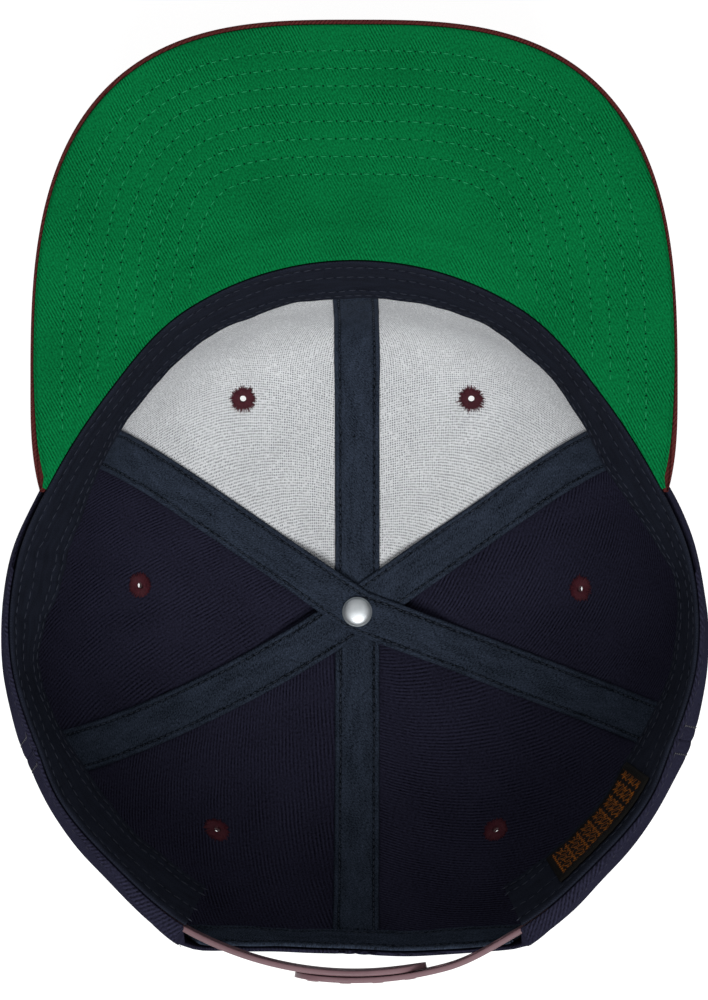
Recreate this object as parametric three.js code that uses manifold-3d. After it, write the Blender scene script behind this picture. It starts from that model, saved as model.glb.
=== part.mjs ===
// A six-panel snapback cap lying upside down on its crown, in millimetres.
//
// The cap is built in its own frame: the button's axis is the z axis, the rim lies near
// z = 0 with the hollow open towards +z, the visor points to -y, and +x is the wearer's
// right. Angles run round the button's axis in degrees, 0 at the front, +90 at the right.
// The finished cap is turned about x by the tilt at which it rests on its button and on
// the pressed front of its crown, and its lowest point is set on z = 0.

import * as THREE from 'three';
import { mergeVertices } from 'three/addons/utils/BufferGeometryUtils.js';
import Module from 'manifold-3d';

const { clamp, degToRad, radToDeg, lerp, smoothstep } = THREE.MathUtils;
const wasm = await Module();
wasm.setup();

// Head opening and crown
const headRadius = 97;
const crownHeight = 110.4;
const visorBend = 750; // radius of the visor's curve across, which the front of the rim follows
const restTilt = degToRad(7);
const pressSoftness = 1.5; // how softly the crown bends into its pressed patch

// Cloth
const clothWall = 1.2;
const buckramWall = 0.9;
const tapeWall = 1.0;
const seamGap = 0.3;
const layerGap = 0.3;
const tapeGap = 0.5;
const bandGap = 0.5;
const tapeWidth = 14.2;

// Sweatband, and how far the tapes and the stiffener tuck behind its top edge
const bandHeight = 32;
const bandEnd = 150.5;
const tapeTuck = 9;
const buckramTuck = 23;

// Opening at the back
const archHeight = 48;
const archHalfAngle = 29;
const archSquare = 2.2;
const archTapeWidth = 11;
const archTapeGap = 0.9;

// Visor
const visorLength = 68.0;
const visorHalfWidth = 91.3;
const visorCentre = 67; // from the button's axis to the widest place
const visorBack = 66; // half-length of the outline's shorter back curve
const visorSquare = 2.95;
const visorTip = 66.4;
const undersideTip = 64;
const coverWall = 1.5;
const visorEdge = 1.5; // width of the rolled edge that shows round the underside
const edgeRound = 1.2;

// Snap straps
const strapWidth = 19;
const strapWall = 1.6;
const strapDrop = 1.5; // from the rim to the strap's edge
const strapLean = 2.4; // how far the edge at the rim leans inwards
const strapRoot = 145.5;
const studStrapEnd = 192;
const holeStrapEnd = 170.3;
const studCount = 4;
const holeCount = 7;
const studEndMargin = 3; // degrees from a strap's end to its first stud or hole
const studRadius = 2;
const studProud = 0.5;

// Button and rivet
const buttonRadius = 7.75;
const buttonHeight = 4.2;
const buttonPress = 0.7; // height of dome that the floor flattens
const rivetRadius = 4.75;
const rivetHeight = 2.2;
const rivetEdge = 0.5; // thickness of the head's straight edge
const postRadius = 1.6;
const postReach = 2; // into the button
const panelTip = 2.4; // where the panels end round the post

// Embroidered air holes
const eyeletRadius = 4.1;
const eyeletHole = 1.0;
const eyeletProud = 0.5;
const eyeletRound = 0.5; // how far a ring's faces bulge over its edges
const pressedEyeletProud = -0.2; // the front ones lie where the crown is pressed flat

// Woven label on the sweatband
const labelFrom = -141;
const labelTo = -117;
const labelHeight = 24;
const labelDrop = 4.5;
const labelWall = 1.0;

// The crown's sections, from the front to the back: the sweatband's fold, how far the
// rim flares outside it and the fullest radius, as shares of headRadius, the height over
// which the wall swells to it as a share of crownHeight, and how square the section is.
const crownSections = [
  { angle: 0, fold: 1.073, flare: 0, body: 1.0, swell: 0.6, square: 5.5 },
  { angle: 28, fold: 1.048, flare: 0, body: 1.0, swell: 0.55, square: 7 },
  { angle: 46, fold: 0.992, flare: 0, body: 1.01, swell: 0.45, square: 5 },
  { angle: 62, fold: 0.978, flare: 0, body: 1.029, swell: 0.36, square: 3.8 },
  { angle: 78, fold: 0.998, flare: 0, body: 1.054, swell: 0.3, square: 2.9 },
  { angle: 95, fold: 1.0, flare: 0, body: 1.077, swell: 0.3, square: 2.6 },
  { angle: 110, fold: 0.984, flare: 0, body: 1.086, swell: 0.3, square: 2.5 },
  { angle: 120, fold: 0.992, flare: 0, body: 1.084, swell: 0.3, square: 2.5 },
  { angle: 135, fold: 0.979, flare: 0.012, body: 1.09, swell: 0.3, square: 2.5 },
  { angle: 151, fold: 0.994, flare: 0.045, body: 1.102, swell: 0.3, square: 2.5 },
  { angle: 180, fold: 1.0, flare: 0.05, body: 1.082, swell: 0.3, square: 2.5 },
];

// Where the sweatband's top edge leans to, as shares of headRadius
const bandTopShares = [
  { angle: -151, radius: 0.912 },
  { angle: -119, radius: 0.915 },
  { angle: -95, radius: 0.964 },
  { angle: -82, radius: 0.974 },
  { angle: -76, radius: 0.937 },
  { angle: -66, radius: 0.905 },
  { angle: -56, radius: 0.892 },
  { angle: -36, radius: 0.96 },
  { angle: -15, radius: 0.988 },
  { angle: 0, radius: 0.983 },
  { angle: 15, radius: 0.988 },
  { angle: 36, radius: 0.951 },
  { angle: 51, radius: 0.914 },
  { angle: 66, radius: 0.892 },
  { angle: 83, radius: 0.899 },
  { angle: 89, radius: 0.942 },
  { angle: 98, radius: 0.965 },
  { angle: 119, radius: 0.925 },
  { angle: 151, radius: 0.916 },
];

// The six seams: their angle at the rim and at the crown's top
const seams = {
  front: { rim: 0, top: 0 },
  frontRight: { rim: 56, top: 56 },
  frontLeft: { rim: -56.3, top: -54.8 },
  rearRight: { rim: 110.5, top: 124 },
  rearLeft: { rim: -109, top: -111 },
  rear: { rim: 180, top: 180 },
  rearFromLeft: { rim: -180, top: -180 },
};

// Rows of points from the rim, 0, to the crown's top, 1, closest together at the shoulder
const crownRows = [0, 0.05, 0.1, 0.15, 0.21, 0.28, 0.37, 0.44, 0.49, 0.53, 0.57, 0.62, 0.7, 0.8, 0.9, 1];
const columnStep = 7.6; // degrees between a panel's columns of points
const nearTop = 0.985; // the share at which the seams take their angle at the top

// Finishes
const finish = (color, roughness, metalness = 0) =>
  new THREE.MeshStandardMaterial({ color, roughness, metalness });
const navyTwill = finish(0x1c1c28, 0.9);
const darkCotton = finish(0x21242f, 0.9);
const tapeCotton = finish(0x242b36, 0.9);
const whiteBuckram = finish(0xc4c6c8, 0.95);
const greenTwill = finish(0x09683a, 0.85);
const redTwill = finish(0x42201f, 0.85);
const redThread = finish(0x30171d, 0.7);
const strapPlastic = finish(0x674f55, 0.4);
const rivetMetal = finish(0xd7dfe1, 0.3, 1);
const labelWeave = finish(0x17161a, 0.8);

// A smooth value between the rows of a table, at an angle in degrees
function valueAt(table, name, angle) {
  const last = table.length - 1;
  const at = clamp(angle, table[0].angle, table[last].angle);
  const next = clamp(table.findIndex((row) => row.angle >= at), 1, last);
  const slope = (i) => {
    if (i === 0 || i === last) return 0;
    const [before, after] = [table[i - 1], table[i + 1]];
    return (after[name] - before[name]) / (after.angle - before.angle);
  };
  const [low, high] = [table[next - 1], table[next]];
  const span = high.angle - low.angle;
  const t = (at - low.angle) / span;
  return (
    low[name] * (1 + 2 * t) * (1 - t) ** 2 +
    slope(next - 1) * span * t * (1 - t) ** 2 +
    high[name] * t ** 2 * (3 - 2 * t) +
    slope(next) * span * t ** 2 * (t - 1)
  );
}

// A point at an angle and a distance from the button's axis
function polar(angle, radius, z) {
  const turn = degToRad(angle);
  return new THREE.Vector3(radius * Math.sin(turn), -radius * Math.cos(turn), z);
}

// The sweatband's fold, the panels' outer face at the rim, and the visor's lift across
const foldRadius = (angle) => headRadius * valueAt(crownSections, 'fold', Math.abs(angle));
const rimRadius = (angle) =>
  foldRadius(angle) + bandGap + clothWall + headRadius * valueAt(crownSections, 'flare', Math.abs(angle));
const tipX = foldRadius(visorTip) * Math.sin(degToRad(visorTip));
const visorLift = (x) => (x ** 2 - tipX ** 2) / (2 * visorBend);

// The rim rides up and down with the visor at the front and stays level at the back
function rimHeight(angle) {
  const sideways = Math.min(Math.abs(angle), 90);
  return visorLift(foldRadius(sideways) * Math.sin(degToRad(sideways)));
}

// The floor under the button's dome, which is pressed flat on it
const buttonSphere = (buttonRadius ** 2 + buttonHeight ** 2) / (2 * buttonHeight);
const buttonTop = crownHeight + layerGap;
const sphereDepth = buttonTop + buttonHeight - buttonSphere;
const floorDistance = sphereDepth * Math.cos(restTilt) + buttonSphere - buttonPress;
const floorDepth = (y) => (floorDistance + y * Math.sin(restTilt)) / Math.cos(restTilt);

// The smaller of two values, rounded where they meet and exact away from there
function softMin(a, b) {
  const blend = Math.max(pressSoftness - Math.abs(a - b), 0) / pressSoftness;
  return Math.min(a, b) - (blend ** 2 * pressSoftness) / 4;
}

// The crown's outer face at one angle, from the rim to the top
class Meridian extends THREE.Curve {
  constructor(angle) {
    super();
    this.angle = angle;
    this.arcLengthDivisions = 120;
    const named = (name) => valueAt(crownSections, name, Math.abs(angle));
    this.rim = rimRadius(angle);
    this.body = headRadius * named('body');
    this.swell = crownHeight * named('swell');
    this.square = named('square');
    this.rimHeight = rimHeight(angle);
  }

  getPoint(t, target = new THREE.Vector3()) {
    const turn = (t * Math.PI) / 2;
    const [across, down] = [Math.max(Math.cos(turn), 0), Math.sin(turn)];
    const reach = (across ** this.square + down ** this.square) ** (-1 / this.square);
    const depth = crownHeight * down * reach;
    const swelled = smoothstep(depth, 0, this.swell);
    const radius = lerp(this.rim, this.body, swelled) * across * reach;
    const point = polar(this.angle, radius, 0);
    const z = lerp(this.rimHeight, 0, depth / crownHeight) - depth;
    return target.set(point.x, point.y, -softMin(-z, floorDepth(point.y)));
  }
}

const meridians = new Map();
function meridian(angle) {
  const key = angle.toFixed(3);
  if (!meridians.has(key)) meridians.set(key, new Meridian(Number(key)));
  return meridians.get(key);
}

const flatRadius = (point) => Math.hypot(point.x, point.y);

// The crown's outward direction
function crownNormal(angle, share) {
  const angleStep = 0.4;
  const shareStep = 0.004;
  const at = clamp(share, shareStep, 1 - shareStep);
  const curve = meridian(angle);
  const along = curve.getPointAt(at + shareStep).sub(curve.getPointAt(at - shareStep));
  const [before, after] = [meridian(angle - angleStep), meridian(angle + angleStep)];
  const around = after.getPointAt(at).sub(before.getPointAt(at));
  return around.cross(along).normalize().negate();
}

// A point of the crown, moved inwards from its outer face
function crownPoint(angle, share, inset = 0) {
  const point = meridian(angle).getPointAt(clamp(share, 0, 1));
  return inset === 0 ? point : point.addScaledVector(crownNormal(angle, share), -inset);
}

// The share of the way up where a rising test first holds
function shareWhere(angle, test) {
  let [low, high] = [0, 1];
  for (let i = 0; i < 30; i++) {
    const middle = (low + high) / 2;
    if (test(meridian(angle).getPointAt(middle))) high = middle;
    else low = middle;
  }
  return high;
}
const shareAtDepth = (angle, depth) => shareWhere(angle, (point) => point.z < rimHeight(angle) - depth);
const shareAtRadius = (angle, radius) => shareWhere(angle, (point) => flatRadius(point) < radius);

// The crown's point nearest to a point that lies close to it
function settle(point, inset, share) {
  const angle = radToDeg(Math.atan2(point.x, -point.y));
  const curve = meridian(angle);
  let nearest = share;
  for (let i = 0; i < 6; i++) {
    const error = point.clone().sub(curve.getPointAt(nearest)).dot(curve.getTangentAt(nearest));
    nearest = clamp(nearest + error / curve.getLength(), 0, 1);
  }
  return crownPoint(angle, nearest, inset);
}

// A closed solid between two grids of points that have the same columns and rows
function shell(faceA, faceB) {
  const [columns, rows] = [faceA.length, faceA[0].length];
  const points = [...faceA.flat(), ...faceB.flat()];
  const a = (i, j) => i * rows + j;
  const b = (i, j) => columns * rows + i * rows + j;
  const index = [];
  const quad = (p, q, r, s) => index.push(p, q, r, p, r, s);
  for (let i = 0; i + 1 < columns; i++) {
    for (let j = 0; j + 1 < rows; j++) {
      quad(a(i, j), a(i + 1, j), a(i + 1, j + 1), a(i, j + 1));
      quad(b(i, j), b(i, j + 1), b(i + 1, j + 1), b(i + 1, j));
    }
    quad(a(i, 0), b(i, 0), b(i + 1, 0), a(i + 1, 0));
    quad(a(i, rows - 1), a(i + 1, rows - 1), b(i + 1, rows - 1), b(i, rows - 1));
  }
  for (let j = 0; j + 1 < rows; j++) {
    quad(a(0, j), a(0, j + 1), b(0, j + 1), b(0, j));
    quad(a(columns - 1, j), b(columns - 1, j), b(columns - 1, j + 1), a(columns - 1, j + 1));
  }
  const volume = (i) => points[index[i]].dot(points[index[i + 1]].clone().cross(points[index[i + 2]]));
  const signed = index.reduce((sum, _, i) => (i % 3 === 0 ? sum + volume(i) : sum), 0);
  if (signed < 0) index.reverse();
  const geometry = new THREE.BufferGeometry().setFromPoints(points);
  geometry.setIndex(index);
  return geometry;
}

// Cutting and joining of solids
function toSolid(geometry) {
  const bare = geometry.clone();
  bare.deleteAttribute('normal');
  bare.deleteAttribute('uv');
  const merged = mergeVertices(bare, 1e-4);
  return new wasm.Manifold(
    new wasm.Mesh({
      numProp: 3,
      vertProperties: Float32Array.from(merged.attributes.position.array),
      triVerts: Uint32Array.from(merged.index.array),
    }),
  );
}

function toGeometry(solid) {
  const mesh = solid.getMesh();
  const geometry = new THREE.BufferGeometry();
  geometry.setAttribute('position', new THREE.BufferAttribute(Float32Array.from(mesh.vertProperties), 3));
  geometry.setIndex(new THREE.BufferAttribute(Uint32Array.from(mesh.triVerts), 1));
  return geometry;
}

const subtract = (geometry, ...cutters) =>
  toGeometry(cutters.reduce((solid, cutter) => solid.subtract(toSolid(cutter)), toSolid(geometry)));
const unite = (geometry, ...added) =>
  toGeometry(added.reduce((solid, piece) => solid.add(toSolid(piece)), toSolid(geometry)));

// A peg or a drill along a direction, centred on a point
const turningAxis = new THREE.Vector3(0, 1, 0);
function rod(centre, direction, radius, length, sides = 14) {
  const place = new THREE.Matrix4().compose(
    centre,
    new THREE.Quaternion().setFromUnitVectors(turningAxis, direction),
    new THREE.Vector3(1, 1, 1),
  );
  return new THREE.CylinderGeometry(radius, radius, length, sides).applyMatrix4(place);
}

const steps = (from, to, count) => Array.from({ length: count + 1 }, (_, i) => lerp(from, to, i / count));

const cap = new THREE.Group();
function add(name, geometry, material) {
  const mesh = new THREE.Mesh(geometry, material);
  mesh.name = name;
  cap.add(mesh);
  return mesh;
}

// Air holes, with their distances from the button's axis as shares of headRadius
const eyelets = [
  { name: 'front_right', angle: 28.1, away: 0.794 },
  { name: 'front_left', angle: -28.1, away: 0.794 },
  { name: 'side_right', angle: 82.8, away: 0.7155 },
  { name: 'side_left', angle: -83.8, away: 0.735 },
  { name: 'rear_right', angle: 147, away: 0.829 },
  { name: 'rear_left', angle: -147, away: 0.829 },
].map((eyelet) => {
  const share = shareAtRadius(eyelet.angle, eyelet.away * headRadius);
  return {
    ...eyelet,
    point: crownPoint(eyelet.angle, share),
    normal: crownNormal(eyelet.angle, share),
    inFront: Math.abs(eyelet.angle) < seams.frontRight.rim,
  };
});
const eyeletDrill = ({ point, normal }) => rod(point, normal, eyeletRadius + layerGap, 12, 14);

// Where a panel starts: under the visor at the front, and at the arch at the back
const visorWall = coverWall + layerGap + clothWall;
function panelStart(angle) {
  const bearing = Math.abs(angle);
  const across = Math.abs(180 - bearing) / archHalfAngle;
  if (across < 1) return shareAtDepth(angle, archHeight * (1 - across ** archSquare) ** (1 / archSquare));
  const underVisor = 1 - smoothstep(bearing, visorTip + columnStep, visorTip + 2 * columnStep);
  return shareAtDepth(angle, underVisor * (visorWall + layerGap));
}
const buckramStart = (angle) => shareAtDepth(angle, bandHeight - buckramTuck);

// The columns of a sheet between two seams, closest together where the arch turns down
function columnPlaces(from, to) {
  const archSide = 180 - archHalfAngle;
  const [low, high] = [Math.min(Math.abs(from), Math.abs(to)), Math.max(Math.abs(from), Math.abs(to))];
  const place = (bearing) => (bearing - low) / (high - low);
  if (high < 180) return steps(0, 1, Math.round((high - low) / columnStep));
  const besideArch = steps(low, archSide, Math.round((archSide - low) / columnStep));
  const overArch = steps(0, 90, 6).slice(1).map((turn) => 180 - archHalfAngle * Math.cos(degToRad(turn)));
  return [...besideArch, ...overArch].map(place);
}

// A sheet of the crown between two seams, from one inset to a deeper one
function crownSheet(seamA, seamB, inset, wall, startAt) {
  const [low, high] = Math.abs(seamA.rim) < Math.abs(seamB.rim) ? [seamA, seamB] : [seamB, seamA];
  const face = (depth) =>
    columnPlaces(low.rim, high.rim).map((place) => {
      const angleAt = (share) => {
        const [a, b] = [lerp(low.rim, low.top, share), lerp(high.rim, high.top, share)];
        const radius = Math.max(flatRadius(crownPoint(a, share)), panelTip);
        const margin = radToDeg(seamGap / 2 / radius) * Math.sign(b - a);
        return lerp(a + margin, b - margin, place);
      };
      let start = 0;
      for (let i = 0; i < 4; i++) start = startAt(angleAt(start));
      return crownRows.map((row) => {
        const share = row + start * (1 - row) ** 3;
        const angle = angleAt(Math.min(share, nearTop));
        return crownPoint(angle, Math.min(share, shareAtRadius(angle, panelTip)), depth);
      });
    });
  return shell(face(inset), face(inset + wall));
}

function addCrown() {
  const panels = [
    { name: 'front_right', between: [seams.front, seams.frontRight] },
    { name: 'front_left', between: [seams.front, seams.frontLeft] },
    { name: 'side_right', between: [seams.frontRight, seams.rearRight] },
    { name: 'side_left', between: [seams.frontLeft, seams.rearLeft] },
    { name: 'rear_right', between: [seams.rearRight, seams.rear] },
    { name: 'rear_left', between: [seams.rearLeft, seams.rearFromLeft] },
  ];
  for (const { name, between } of panels) {
    const drill = eyeletDrill(eyelets.find((eyelet) => eyelet.name === name));
    add(`panel_${name}`, subtract(crownSheet(...between, 0, clothWall, panelStart), drill), navyTwill);
    if (!name.startsWith('front')) continue;
    const stiffener = crownSheet(...between, clothWall + layerGap, buckramWall, buckramStart);
    add(`buckram_${name.slice('front_'.length)}`, subtract(stiffener, drill), whiteBuckram);
  }
}

// Seam tapes: each runs over the crown's top from one seam to the opposite one
const frontTapeInset = clothWall + layerGap + buckramWall + tapeGap;
const rearTapeInset = clothWall + tapeGap;
const stackInner = 17; // inside this radius the tapes lie on one another
const stackOuter = 38;
const tapeRows = [...crownRows, 0.85, 0.95].sort((a, b) => a - b);

function seamTape(front, rear, layer, rearEnd) {
  const stations = [];
  const follow = (seam, from, base) => {
    const shares = tapeRows.filter((row) => row > from && row < 1);
    return shares.map((share) => ({ angle: lerp(seam.rim, seam.top, share), share, base }));
  };
  const tuck = bandHeight - tapeTuck;
  stations.push(...follow(front, shareAtDepth(front.rim, tuck), frontTapeInset));
  stations.push({ angle: front.top, share: 1, base: frontTapeInset });
  stations.push(...follow(rear, shareAtDepth(rear.rim, rearEnd ?? tuck), rearTapeInset).reverse());
  const centres = stations.map(({ angle, share }) => crownPoint(angle, share));
  const face = (depth) =>
    stations.map(({ angle, share, base }, i) => {
      const before = centres[Math.max(i - 1, 0)];
      const after = centres[Math.min(i + 1, centres.length - 1)];
      const normal = share === 1 ? new THREE.Vector3(0, 0, -1) : crownNormal(angle, share);
      const side = after.clone().sub(before).cross(normal).normalize();
      return [-1, 0, 1].map((across) => {
        const point = centres[i].clone().addScaledVector(side, (across * tapeWidth) / 2);
        const stacked = 1 - smoothstep(flatRadius(point), stackInner, stackOuter);
        const inset = lerp(base, frontTapeInset + layer * (tapeWall + layerGap), stacked);
        return settle(point, inset + depth, share);
      });
    });
  const post = rod(new THREE.Vector3(0, 0, -crownHeight), new THREE.Vector3(0, 0, 1), panelTip, 30);
  return subtract(shell(face(0), face(tapeWall)), post);
}

function addTapes() {
  const archTapeTop = archHeight + archTapeWidth + tapeGap;
  add('tape_centre', seamTape(seams.front, seams.rear, 0, archTapeTop), tapeCotton);
  add('tape_left_right', seamTape(seams.frontLeft, seams.rearRight, 1), tapeCotton);
  add('tape_right_left', seamTape(seams.frontRight, seams.rearLeft, 2), tapeCotton);
}

// Tape along the arch, from above one strap's root to above the other's
function addArchTape() {
  const strapClearance = strapDrop + strapWidth + 2;
  const archWidth = degToRad(archHalfAngle) * foldRadius(180);
  const lowTurn = Math.asin(strapClearance / archHeight);
  const squared = (value) => Math.sign(value) * Math.abs(value) ** (2 / archSquare);
  const face = (inset) =>
    steps(lowTurn, Math.PI - lowTurn, 14).map((turn) =>
      steps(layerGap, archTapeWidth, 2).map((outwards) => {
        const across = (archWidth + outwards) * squared(Math.cos(turn));
        const depth = (archHeight + outwards) * squared(Math.sin(turn));
        const bearing = 180 - radToDeg(across / foldRadius(180));
        const angle = bearing > 180 ? bearing - 360 : bearing;
        return crownPoint(angle, shareAtDepth(angle, depth), inset);
      }),
    );
  const inset = clothWall + archTapeGap;
  add('arch_tape', shell(face(inset), face(inset + tapeWall)), tapeCotton);
}

// A point of the sweatband's outer face, or inside it
function bandPoint(angle, depth, inset) {
  const lean = depth / bandHeight;
  const top = headRadius * valueAt(bandTopShares, 'radius', angle) + clothWall;
  return polar(angle, lerp(foldRadius(angle), top, lean) - inset, rimHeight(angle) - depth);
}

function addSweatband() {
  const angles = steps(-bandEnd, bandEnd, 52);
  const depths = [0, bandHeight];
  const face = (inset) => angles.map((angle) => depths.map((depth) => bandPoint(angle, depth, inset)));
  add('sweatband', shell(face(0), face(clothWall)), darkCotton);

  const labelAngles = steps(labelFrom, labelTo, 6);
  const labelDepths = [labelDrop, labelDrop + labelHeight];
  const labelFace = (inset) =>
    labelAngles.map((angle) => labelDepths.map((depth) => bandPoint(angle, depth, inset)));
  const labelInset = clothWall + layerGap;
  add('inner_label', shell(labelFace(labelInset), labelFace(labelInset + labelWall)), labelWeave);
}

// The visor's outline, from one tip round the front to the other
const visorInner = (angle) => foldRadius(angle) + layerGap;
const visorFront = visorInner(0) + visorLength;

class VisorOutline extends THREE.Curve {
  getPoint(t, target = new THREE.Vector3()) {
    const tipY = visorCentre - visorInner(visorTip) * Math.cos(degToRad(visorTip));
    const tipTurn = Math.PI / 2 + Math.asin((tipY / visorBack) ** (visorSquare / 2));
    const turn = lerp(-tipTurn, tipTurn, t);
    const [across, ahead] = [Math.abs(Math.sin(turn)), Math.cos(turn)];
    const half = ahead > 0 ? visorFront - visorCentre : visorBack;
    return target.set(
      visorHalfWidth * Math.sign(turn) * across ** (2 / visorSquare),
      -visorCentre - half * Math.sign(ahead) * Math.abs(ahead) ** (2 / visorSquare),
      0,
    );
  }
}
const visorOutline = new VisorOutline();

// A section of the visor: points at distances outwards from the rim and heights on it
function visorSection(place, marks) {
  const inner = polar(place * visorTip, visorInner(place * visorTip), 0);
  const outer = visorOutline.getPointAt((place + 1) / 2);
  const length = inner.distanceTo(outer);
  return marks(length).map(([outwards, height]) => {
    const point = inner.clone().lerp(outer, outwards / length);
    return point.setZ(visorLift(point.x) + height);
  });
}

function addVisor() {
  const coverTop = -(clothWall + layerGap);
  const coverFloor = coverTop - coverWall;
  const inwards = (length, margin) => length - Math.min(margin, length * 0.6);
  const coverOutside = (length) => [
    ...steps(0, inwards(length, edgeRound + 1), 2).map((outwards) => [outwards, coverFloor]),
    [inwards(length, edgeRound), coverFloor + edgeRound * 0.12],
    [inwards(length, edgeRound * 0.3), coverFloor + edgeRound * 0.45],
    [length, coverFloor / 2],
    [inwards(length, edgeRound * 0.2), -edgeRound * 0.3],
  ];
  const coverInside = (length) => [
    ...steps(0, inwards(length, visorEdge + edgeRound), 2).map((outwards) => [outwards, coverTop]),
    [inwards(length, visorEdge + 0.3), coverTop],
    [inwards(length, visorEdge), coverTop + 0.1],
    [inwards(length, visorEdge), coverTop * 0.5],
    [inwards(length, visorEdge * 0.9), 0],
  ];
  const clothTop = (height) => (length) =>
    steps(0, inwards(length, visorEdge + layerGap), 2).map((outwards) => [outwards, height]);
  const places = steps(-1, 1, 38);
  const face = (marks, reach) => places.map((place) => visorSection(place * reach, marks));
  const undersideReach = undersideTip / visorTip;
  add('visor_top', shell(face(coverOutside, 1), face(coverInside, 1)), redTwill);
  const underside = shell(face(clothTop(0), undersideReach), face(clothTop(-clothWall), undersideReach));
  add('visor_underside', underside, greenTwill);
}

// Snap straps: both are sewn inside the crown's back corners, and one lies on the other
const strapRadius = rimRadius(bandEnd) - clothWall - layerGap;
function strapFaceRadius(bearing) {
  return bearing < 180 - archHalfAngle
    ? Math.min(strapRadius, rimRadius(bearing) - clothWall - layerGap)
    : strapRadius;
}

// The strap's outer face, from its root on one side to its end past the middle. Between
// the roots it leans, as the crown does, so that it shows hardly more than its edge.
function strapSolid(side, end, liftAt) {
  const degreesPerMm = radToDeg(1 / strapRadius);
  const roundStart = end - (strapWidth / 2) * degreesPerMm;
  const bearings = [
    ...steps(strapRoot, roundStart, 12),
    ...steps(0, 78, 5).slice(1).map((turn) => lerp(roundStart, end, Math.sin(degToRad(turn)))),
  ];
  const face = (inset) =>
    bearings.map((bearing) => {
      const past = Math.max(bearing - roundStart, 0) / (end - roundStart);
      const half = (strapWidth / 2) * Math.sqrt(1 - past ** 2);
      const middle = -strapDrop - strapWidth / 2;
      const radius = strapFaceRadius(bearing) + liftAt(bearing) - inset;
      const lean = strapLean * smoothstep(bearing, strapRoot, 180 - archHalfAngle);
      const leant = (z) => radius - lean * (1 + (z + strapDrop) / strapWidth);
      return steps(middle + half, middle - half, 2).map((z) => polar(side * bearing, leant(z), z));
    });
  return shell(face(0), face(strapWall));
}

function addStraps() {
  const pitch = (studStrapEnd - holeStrapEnd - 2 * studEndMargin) / (studCount - 1);
  const passedLift = strapWall + layerGap;
  const lift = (bearing) => passedLift * smoothstep(bearing, 180 - archHalfAngle, 360 - studStrapEnd - 3);
  const middle = -strapDrop - strapWidth / 2;
  const peg = (bearing, radius, from, to) => {
    const outwards = polar(bearing, strapWidth, strapLean).normalize();
    const onFace = polar(bearing, strapRadius - strapLean / 2, middle);
    return rod(onFace.addScaledVector(outwards, (from + to) / 2), outwards, radius, to - from, 10);
  };
  const studs = steps(0, studCount - 1, studCount - 1).map((i) => {
    const bearing = studStrapEnd - studEndMargin - i * pitch;
    return peg(bearing, studRadius, -strapWall / 2, passedLift + studProud);
  });
  const holes = steps(0, holeCount - 1, holeCount - 1).map((i) => {
    const bearing = holeStrapEnd + studEndMargin + i * pitch;
    return peg(bearing, studRadius + layerGap, -2 * strapWall, 4 * strapWall);
  });
  add('strap_studs', unite(strapSolid(1, studStrapEnd, () => 0), ...studs), strapPlastic);
  add('strap_holes', subtract(strapSolid(-1, 360 - holeStrapEnd, lift), ...holes), strapPlastic);
}

// A turned piece round the button's axis: points as [radius, depth below the rim plane]
function turned(profile, sides) {
  const points = profile.map(([radius, depth]) => new THREE.Vector2(radius, -depth));
  return new THREE.LatheGeometry(points, sides).rotateX(Math.PI / 2);
}

function addButtonAndRivet() {
  const boreRadius = postRadius + layerGap;
  const boreDepth = buttonTop + postReach + layerGap;
  const domeAngle = Math.asin(buttonRadius / buttonSphere);
  const dome = steps(0, domeAngle, 4).map((turn) => [
    buttonSphere * Math.sin(turn),
    sphereDepth + buttonSphere * Math.cos(turn),
  ]);
  const button = turned([...dome, [boreRadius, buttonTop], [boreRadius, boreDepth], [0, boreDepth]], 20);
  const floorHeight = 20;
  const belowFloor = new THREE.BoxGeometry(60, 60, floorHeight)
    .translate(0, 0, -floorDistance - floorHeight / 2)
    .rotateX(-restTilt);
  add('top_button', subtract(button, belowFloor), redTwill);

  const stackTop = frontTapeInset + 3 * tapeWall + 3 * layerGap;
  const seat = crownHeight - stackTop;
  const head = steps(Math.PI / 2, 0, 4).map((turn) => [
    rivetRadius * Math.sin(turn),
    seat - rivetEdge - (rivetHeight - rivetEdge) * Math.cos(turn),
  ]);
  const postEnd = buttonTop + postReach;
  const profile = [[0, postEnd], [postRadius, postEnd], [postRadius, seat], [rivetRadius, seat], ...head];
  add('rivet', turned(profile, 16), rivetMetal);
}

// A ring through the panel, and through the stiffener behind the front panels
function addEyelets() {
  for (const { name, point, normal, inFront } of eyelets) {
    const outside = inFront ? pressedEyeletProud : eyeletProud;
    const inside = clothWall + (inFront ? layerGap + buckramWall : 0) + eyeletProud;
    const middleRadius = (eyeletHole + eyeletRadius) / 2;
    const profile = [
      [eyeletHole, outside - eyeletRound],
      [eyeletHole, eyeletRound - inside],
      [middleRadius, -inside],
      [eyeletRadius, eyeletRound - inside],
      [eyeletRadius, outside - eyeletRound],
      [middleRadius, outside],
      [eyeletHole, outside - eyeletRound],
    ];
    const points = profile.map(([radius, height]) => new THREE.Vector2(radius, height));
    const mesh = add(`eyelet_${name}`, new THREE.LatheGeometry(points, 14), redThread);
    mesh.position.copy(point);
    mesh.quaternion.setFromUnitVectors(turningAxis, normal);
  }
}

addCrown();
addTapes();
addArchTape();
addSweatband();
addVisor();
addStraps();
addButtonAndRivet();
addEyelets();

// The cap lies tilted on the floor, centred on the origin
cap.rotation.x = restTilt;
const model = new THREE.Group();
model.add(cap);
const box = new THREE.Box3().setFromObject(model, true);
const centre = box.getCenter(new THREE.Vector3());
cap.position.set(-centre.x, -centre.y, -box.min.z);

export default model;
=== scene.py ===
"""A snapback cap, lying upside down on its crown, as it looks: cloth, thread, plastic and metal."""

import bpy
import numpy as np
from mathutils import Matrix, Vector
from mathutils.kdtree import KDTree


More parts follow.
